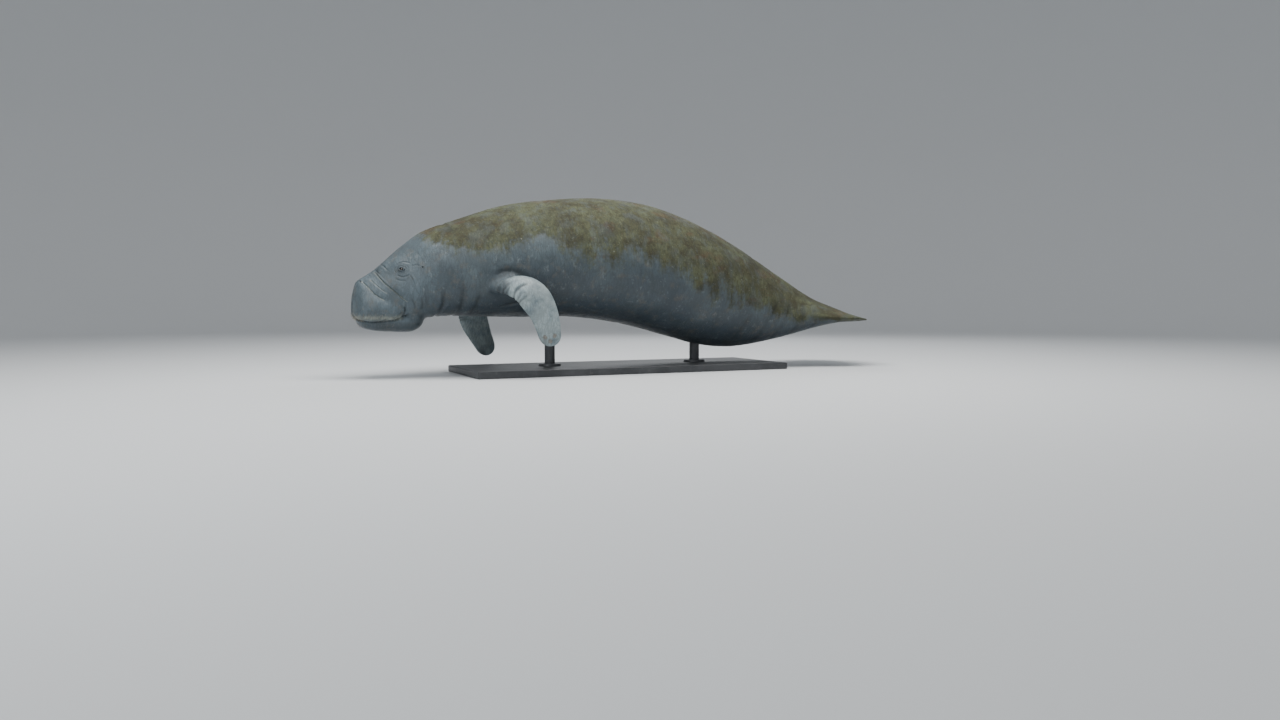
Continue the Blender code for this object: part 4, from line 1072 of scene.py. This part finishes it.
eye_look, look, shader = new_material("wet_eye")
off_axis = look.value_of("off_axis")
threads = look.node("TexNoise", {"Vector": look.value_of("eye_turn"), "Scale": 34.0, "Detail": 3.0})[0]
iris = look.mixed(look.ramped(threads, 0.35, 0.65), *IRIS_BROWNS)
iris = look.mixed(look.ramped(off_axis, IRIS_RADIUS * 0.75, IRIS_RADIUS), iris, IRIS_RING)
iris = look.mixed(look.ramped(off_axis, PUPIL_RADIUS - 0.0003, PUPIL_RADIUS + 0.0003), PUPIL, iris)
white = look.mixed(look.blotches(260, 3), *EYE_WHITES)
colour = look.mixed(look.ramped(off_axis, IRIS_RADIUS, IRIS_RADIUS + 0.0008), iris, white)
look.give(colour, shader["Base Color"])
look.give(look.patchy((500, 2), 0.3, 0.7, 0.05, 0.13), shader["Roughness"])
shader["Coat Weight"].default_value = 1.0
shader["Coat Roughness"].default_value = 0.03

for side_name, side in (("left", -1), ("right", 1)):
    centre = np.mean(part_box(f"eye_{side_name}"), axis=0)
    axis = np.array(tuple(spots["eye"][1])) * (1, side, 1)
    level = unit(np.cross((0, 0, 1), axis)[None])[0]
    over = np.cross(axis, level)
    bends = np.linspace(0, math.pi, EYE_RINGS + 2)[1:-1]
    turns = np.arange(EYE_AROUND) * 2 * math.pi / EYE_AROUND
    size = EYE_RADIUS + CORNEA_BULGE * bell(bends, 0.50)
    across = np.cos(turns)[:, None] * level + np.sin(turns)[:, None] * over
    rings = centre + size[:, None, None] * (
        np.cos(bends)[:, None, None] * axis + np.sin(bends)[:, None, None] * across
    )
    front = centre + axis * (EYE_RADIUS + CORNEA_BULGE)
    eye = closed_mesh(f"eyeball_{side_name}", rings, front, centre - axis * EYE_RADIUS)
    bend_at_points = np.append(np.repeat(bends, EYE_AROUND), (0.0, math.pi))
    from_axis = EYE_RADIUS * np.where(bend_at_points > math.pi / 2, 1.0, np.sin(bend_at_points))
    turned = np.append(np.tile(np.abs(turns - math.pi), EYE_RINGS), (0.0, 0.0))
    put_values(eye.data, off_axis=from_axis, eye_turn=turned)
    eye.data.shade_smooth()
    eye.data.materials.append(eye_look)
    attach(eye, "root")
    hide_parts(f"eye_{side_name}")


# The nails
# Three blunt nails lie on the outer face of each flipper, near its tip: domed horn with growth ridges, a
# root sunk under the cuticle and a free front edge.
NAIL_ROWS, NAIL_AROUND = 12, 48
NAIL_LONG, NAIL_WIDE, NAIL_HIGH, NAIL_SUNK = 0.0112, 0.0096, 0.0036, 0.0034

NAIL_SQUARE, NAIL_DOME, NAIL_LIFT, NAIL_RIDGES = 2.5, 2.4, 0.0009, (0.00010, 2400)
HORN_GREYS = (0.150, 0.146, 0.130), (0.215, 0.208, 0.182)
HORN_STAINS = {"smudges": ((0.070, 0.066, 0.058), (90, 4), 0.48, 0.68, 0.6)}

nail_look, look, shader = new_material("nail_horn")
bands = look.blotches(160, 2, 0.5)
horn = look.mixed(look.ramped(bands, 0.35, 0.65), *HORN_GREYS)
look.give(look.stained(horn, HORN_STAINS), shader["Base Color"])
look.give(look.ramped(bands, 0.3, 0.7, 0.30, 0.46), shader["Roughness"])
look.give(look.bump(bands, 0.3, 0.0004), shader["Normal"])

for name, (spot, outward) in nail_spots.items():
    flipper = flippers[name.split("_")[1]]
    tip = flipper.frame(flipper.length)[0][0]
    onward = tip - spot
    onward = unit((onward - outward * (onward @ outward))[None])[0]
    across = np.cross(outward, onward)
    turns = np.arange(NAIL_AROUND) * 2 * math.pi / NAIL_AROUND
    squarish = np.abs(np.cos(turns)) ** NAIL_SQUARE + np.abs(np.sin(turns)) ** NAIL_SQUARE
    squarish = squarish ** (-1 / NAIL_SQUARE)
    ahead, aside = NAIL_LONG * squarish * np.cos(turns), NAIL_WIDE * squarish * np.sin(turns)
    rows = []
    for out in np.linspace(0.1, 1, NAIL_ROWS):
        dome = NAIL_HIGH * math.sqrt(1 - 0.97 * out**NAIL_DOME)
        dome += NAIL_LIFT * eased(ahead / NAIL_LONG, 0.0, 1.0) * out
        ridges = NAIL_RIDGES[0] * np.cos(aside * out * NAIL_RIDGES[1]) * (1 - out**4)
        rows.append((out, dome + ridges))
    for out in np.linspace(0.96, 0.1, 5):
        rows.append((out, np.full(NAIL_AROUND, -NAIL_SUNK)))
    rings = np.array(
        [
            spot + np.outer(ahead * out, onward) + np.outer(aside * out, across) + np.outer(height, outward)
            for out, height in rows
        ]
    )
    top, root = spot + outward * NAIL_HIGH, spot - outward * NAIL_SUNK
    nail = closed_mesh(name.replace("nail", "claw"), rings, top, root)
    nail.data.shade_smooth()
    nail.data.materials.append(nail_look)
    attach(nail, "root")
    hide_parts(name)


# Bristles and fine hairs
# Stout bristles line the lip pads and the chin, shorter ones stand on the muzzle, and single fine hairs grow
# a few centimetres apart over the whole body. Each tapers from a root in the hide to a bent tip.
HAIR_PATCH, HAIR_SUNK, HAIR_TAPER = 0.003, 0.0012, 0.75
HAIR_SIDES, HAIR_STEPS = 3, 4
hair_draw = np.random.default_rng(11)
skin.data.calc_loop_triangles()
corners = rows_of(skin.data.loop_triangles, "vertices", 3, np.int64)
edges = skin_points[corners[:, 1:]] - skin_points[corners[:, :1]]
triangle_normals = np.cross(edges[:, 0], edges[:, 1])
triangle_areas = np.linalg.norm(triangle_normals, axis=1)
behind, height = measured[:, 0], measured[:, 2]
bare_skin = (1 - eased(arm, 0.05, 0.4)) * (np.linalg.norm(measured - eye_centre, axis=1) > 0.030)
on_jaw = (1 - eased(height, 0.280, 0.285)) * (behind < 0.20)
on_lip = bell(height - 0.304, 0.017) * (height > 0.287) * (1 - eased(behind, 0.19, 0.225))
on_chin = on_jaw * bell(height - 0.268, 0.014)
on_muzzle = (1 - eased(behind, 0.10, 0.24)) * (height > 0.30)
HAIRS = {
    "lip_bristles": (on_lip * (1 + 2 * (behind < 0.04)), 520, (0.007, 0.016), 0.00050, (0.25, 0.0, -0.75)),
    "chin_bristles": (on_chin, 170, (0.005, 0.010), 0.00042, (0.2, 0.0, -0.3)),
    "muzzle_hairs": (on_muzzle, 330, (0.005, 0.010), 0.00028, (0.5, 0.0, -0.3)),
    "body_hairs": (bare_skin * eased(behind, 0.10, 0.26), 1500, (0.008, 0.016), 0.00022, (0.9, 0.0, -0.2)),
}

ROOT_SHADE, HAIR_TONES = (0.060, 0.055, 0.048), ((0.200, 0.185, 0.150), (0.440, 0.420, 0.360))

hair_look, look, shader = new_material("hair")
hair_colour = look.mixed(look.patchy((70, 2), 0.35, 0.65), *HAIR_TONES)
root_colour = look.mixed(0.6, hair_colour, ROOT_SHADE)
look.give(look.mixed(look.value_of("to_tip"), root_colour, hair_colour), shader["Base Color"])
look.give(look.patchy((400, 2), 0.3, 0.7, 0.34, 0.50), shader["Roughness"])

for name, (density, count, lengths, thick, lean) in HAIRS.items():
    weight = triangle_areas * density[corners].mean(axis=1)
    chosen = hair_draw.choice(len(weight), count, p=weight / weight.sum())
    roots = np.einsum("ij,ijk->ik", hair_draw.dirichlet((1, 1, 1), count), skin_points[corners[chosen]])
    outward = unit(triangle_normals[chosen])
    long = hair_draw.uniform(*lengths, count)[:, None]
    swept = unit(outward + np.array(lean) * 0.45 + hair_draw.normal(0, 0.16, (count, 3)))
    bent_to = unit(swept + np.array(lean) * 0.55)
    level = unit(np.cross(swept, (0.31, 0.22, 0.92)))
    upward = np.cross(swept, level)
    place, turn = on_form(roots)
    centres = np.column_stack([0.02 + 0.96 * place / body_form.length, 0.02 + 0.96 * turn])
    rings, spread, to_tip, own_faces = [], [], [], [tuple(range(HAIR_SIDES))[::-1]]
    for step in range(HAIR_STEPS):
        share = step / HAIR_STEPS
        middle = roots - outward * HAIR_SUNK + long * (swept * share + (bent_to - swept) * share**2)
        for k in range(HAIR_SIDES):
            round_it = 2 * math.pi * k / HAIR_SIDES
            off = math.cos(round_it) * level + math.sin(round_it) * upward
            rings.append(middle + off * thick * (1 - HAIR_TAPER * share))
            spread.append(((k / HAIR_SIDES - 0.4) * HAIR_PATCH, (share - 0.5) * HAIR_PATCH))
            to_tip.append(share)
            here, beside = step * HAIR_SIDES + k, step * HAIR_SIDES + (k + 1) % HAIR_SIDES
            if step < HAIR_STEPS - 1:
                own_faces.append((here, beside, beside + HAIR_SIDES, here + HAIR_SIDES))
            else:
                own_faces.append((here, beside, HAIR_STEPS * HAIR_SIDES))
    rings.append(roots + long * bent_to)
    spread.append((0.0, 0.5 * HAIR_PATCH))
    to_tip.append(1.0)
    per_hair = len(rings)
    points = np.stack(rings, axis=1).reshape(-1, 3)
    faces = [tuple(i + hair * per_hair for i in face) for hair in range(count) for face in own_faces]
    mesh = bpy.data.meshes.new(name)
    mesh.from_pydata(points.tolist(), [], faces)
    put_values(mesh, to_tip=np.tile(to_tip, count))
    spots_of_hairs = (centres[:, None] + np.array(spread)[None]).reshape(-1, 2)
    loops = rows_of(mesh.loops, "vertex_index", 1, np.int64)[:, 0]
    mesh.uv_layers.new(name="OFBake").data.foreach_set("uv", spots_of_hairs[loops].ravel().astype(np.float32))
    mesh.shade_smooth()
    mesh.materials.append(hair_look)
    hairs = add_object(name, mesh)
    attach(hairs, "root")


# The display stand
# A flat steel base and two short rods with collars, all in dark satin paint with a little dust at places.
DARK_PAINTS, STAND_METALLIC = ((0.050, 0.052, 0.056), (0.074, 0.077, 0.082)), 0.35
PAINT_STAINS = {"dust": ((0.150, 0.150, 0.146), (34, 5, 0.7), 0.54, 0.76, 0.40)}

stand_look, look, shader = new_material("satin_paint")
cloud, orange_peel = look.blotches(6, 4, 0.6), look.blotches(620, 2, 0.5)
paint = look.mixed(look.ramped(cloud, 0.35, 0.65), *DARK_PAINTS)
look.give(look.stained(paint, PAINT_STAINS), shader["Base Color"])
gloss = look.plus(look.ramped(cloud, 0.3, 0.7, 0.36, 0.44), look.ramped(orange_peel, 0.3, 0.7, 0.0, 0.08))
look.give(gloss, shader["Roughness"])
look.give(look.bump(orange_peel, 0.25, 0.0004), shader["Normal"])
shader["Metallic"].default_value = STAND_METALLIC
for name in ("stand_base", "stand_rod_front", "stand_rod_rear"):
    for holder in bpy.data.objects[name].material_slots:
        holder.material = stand_look
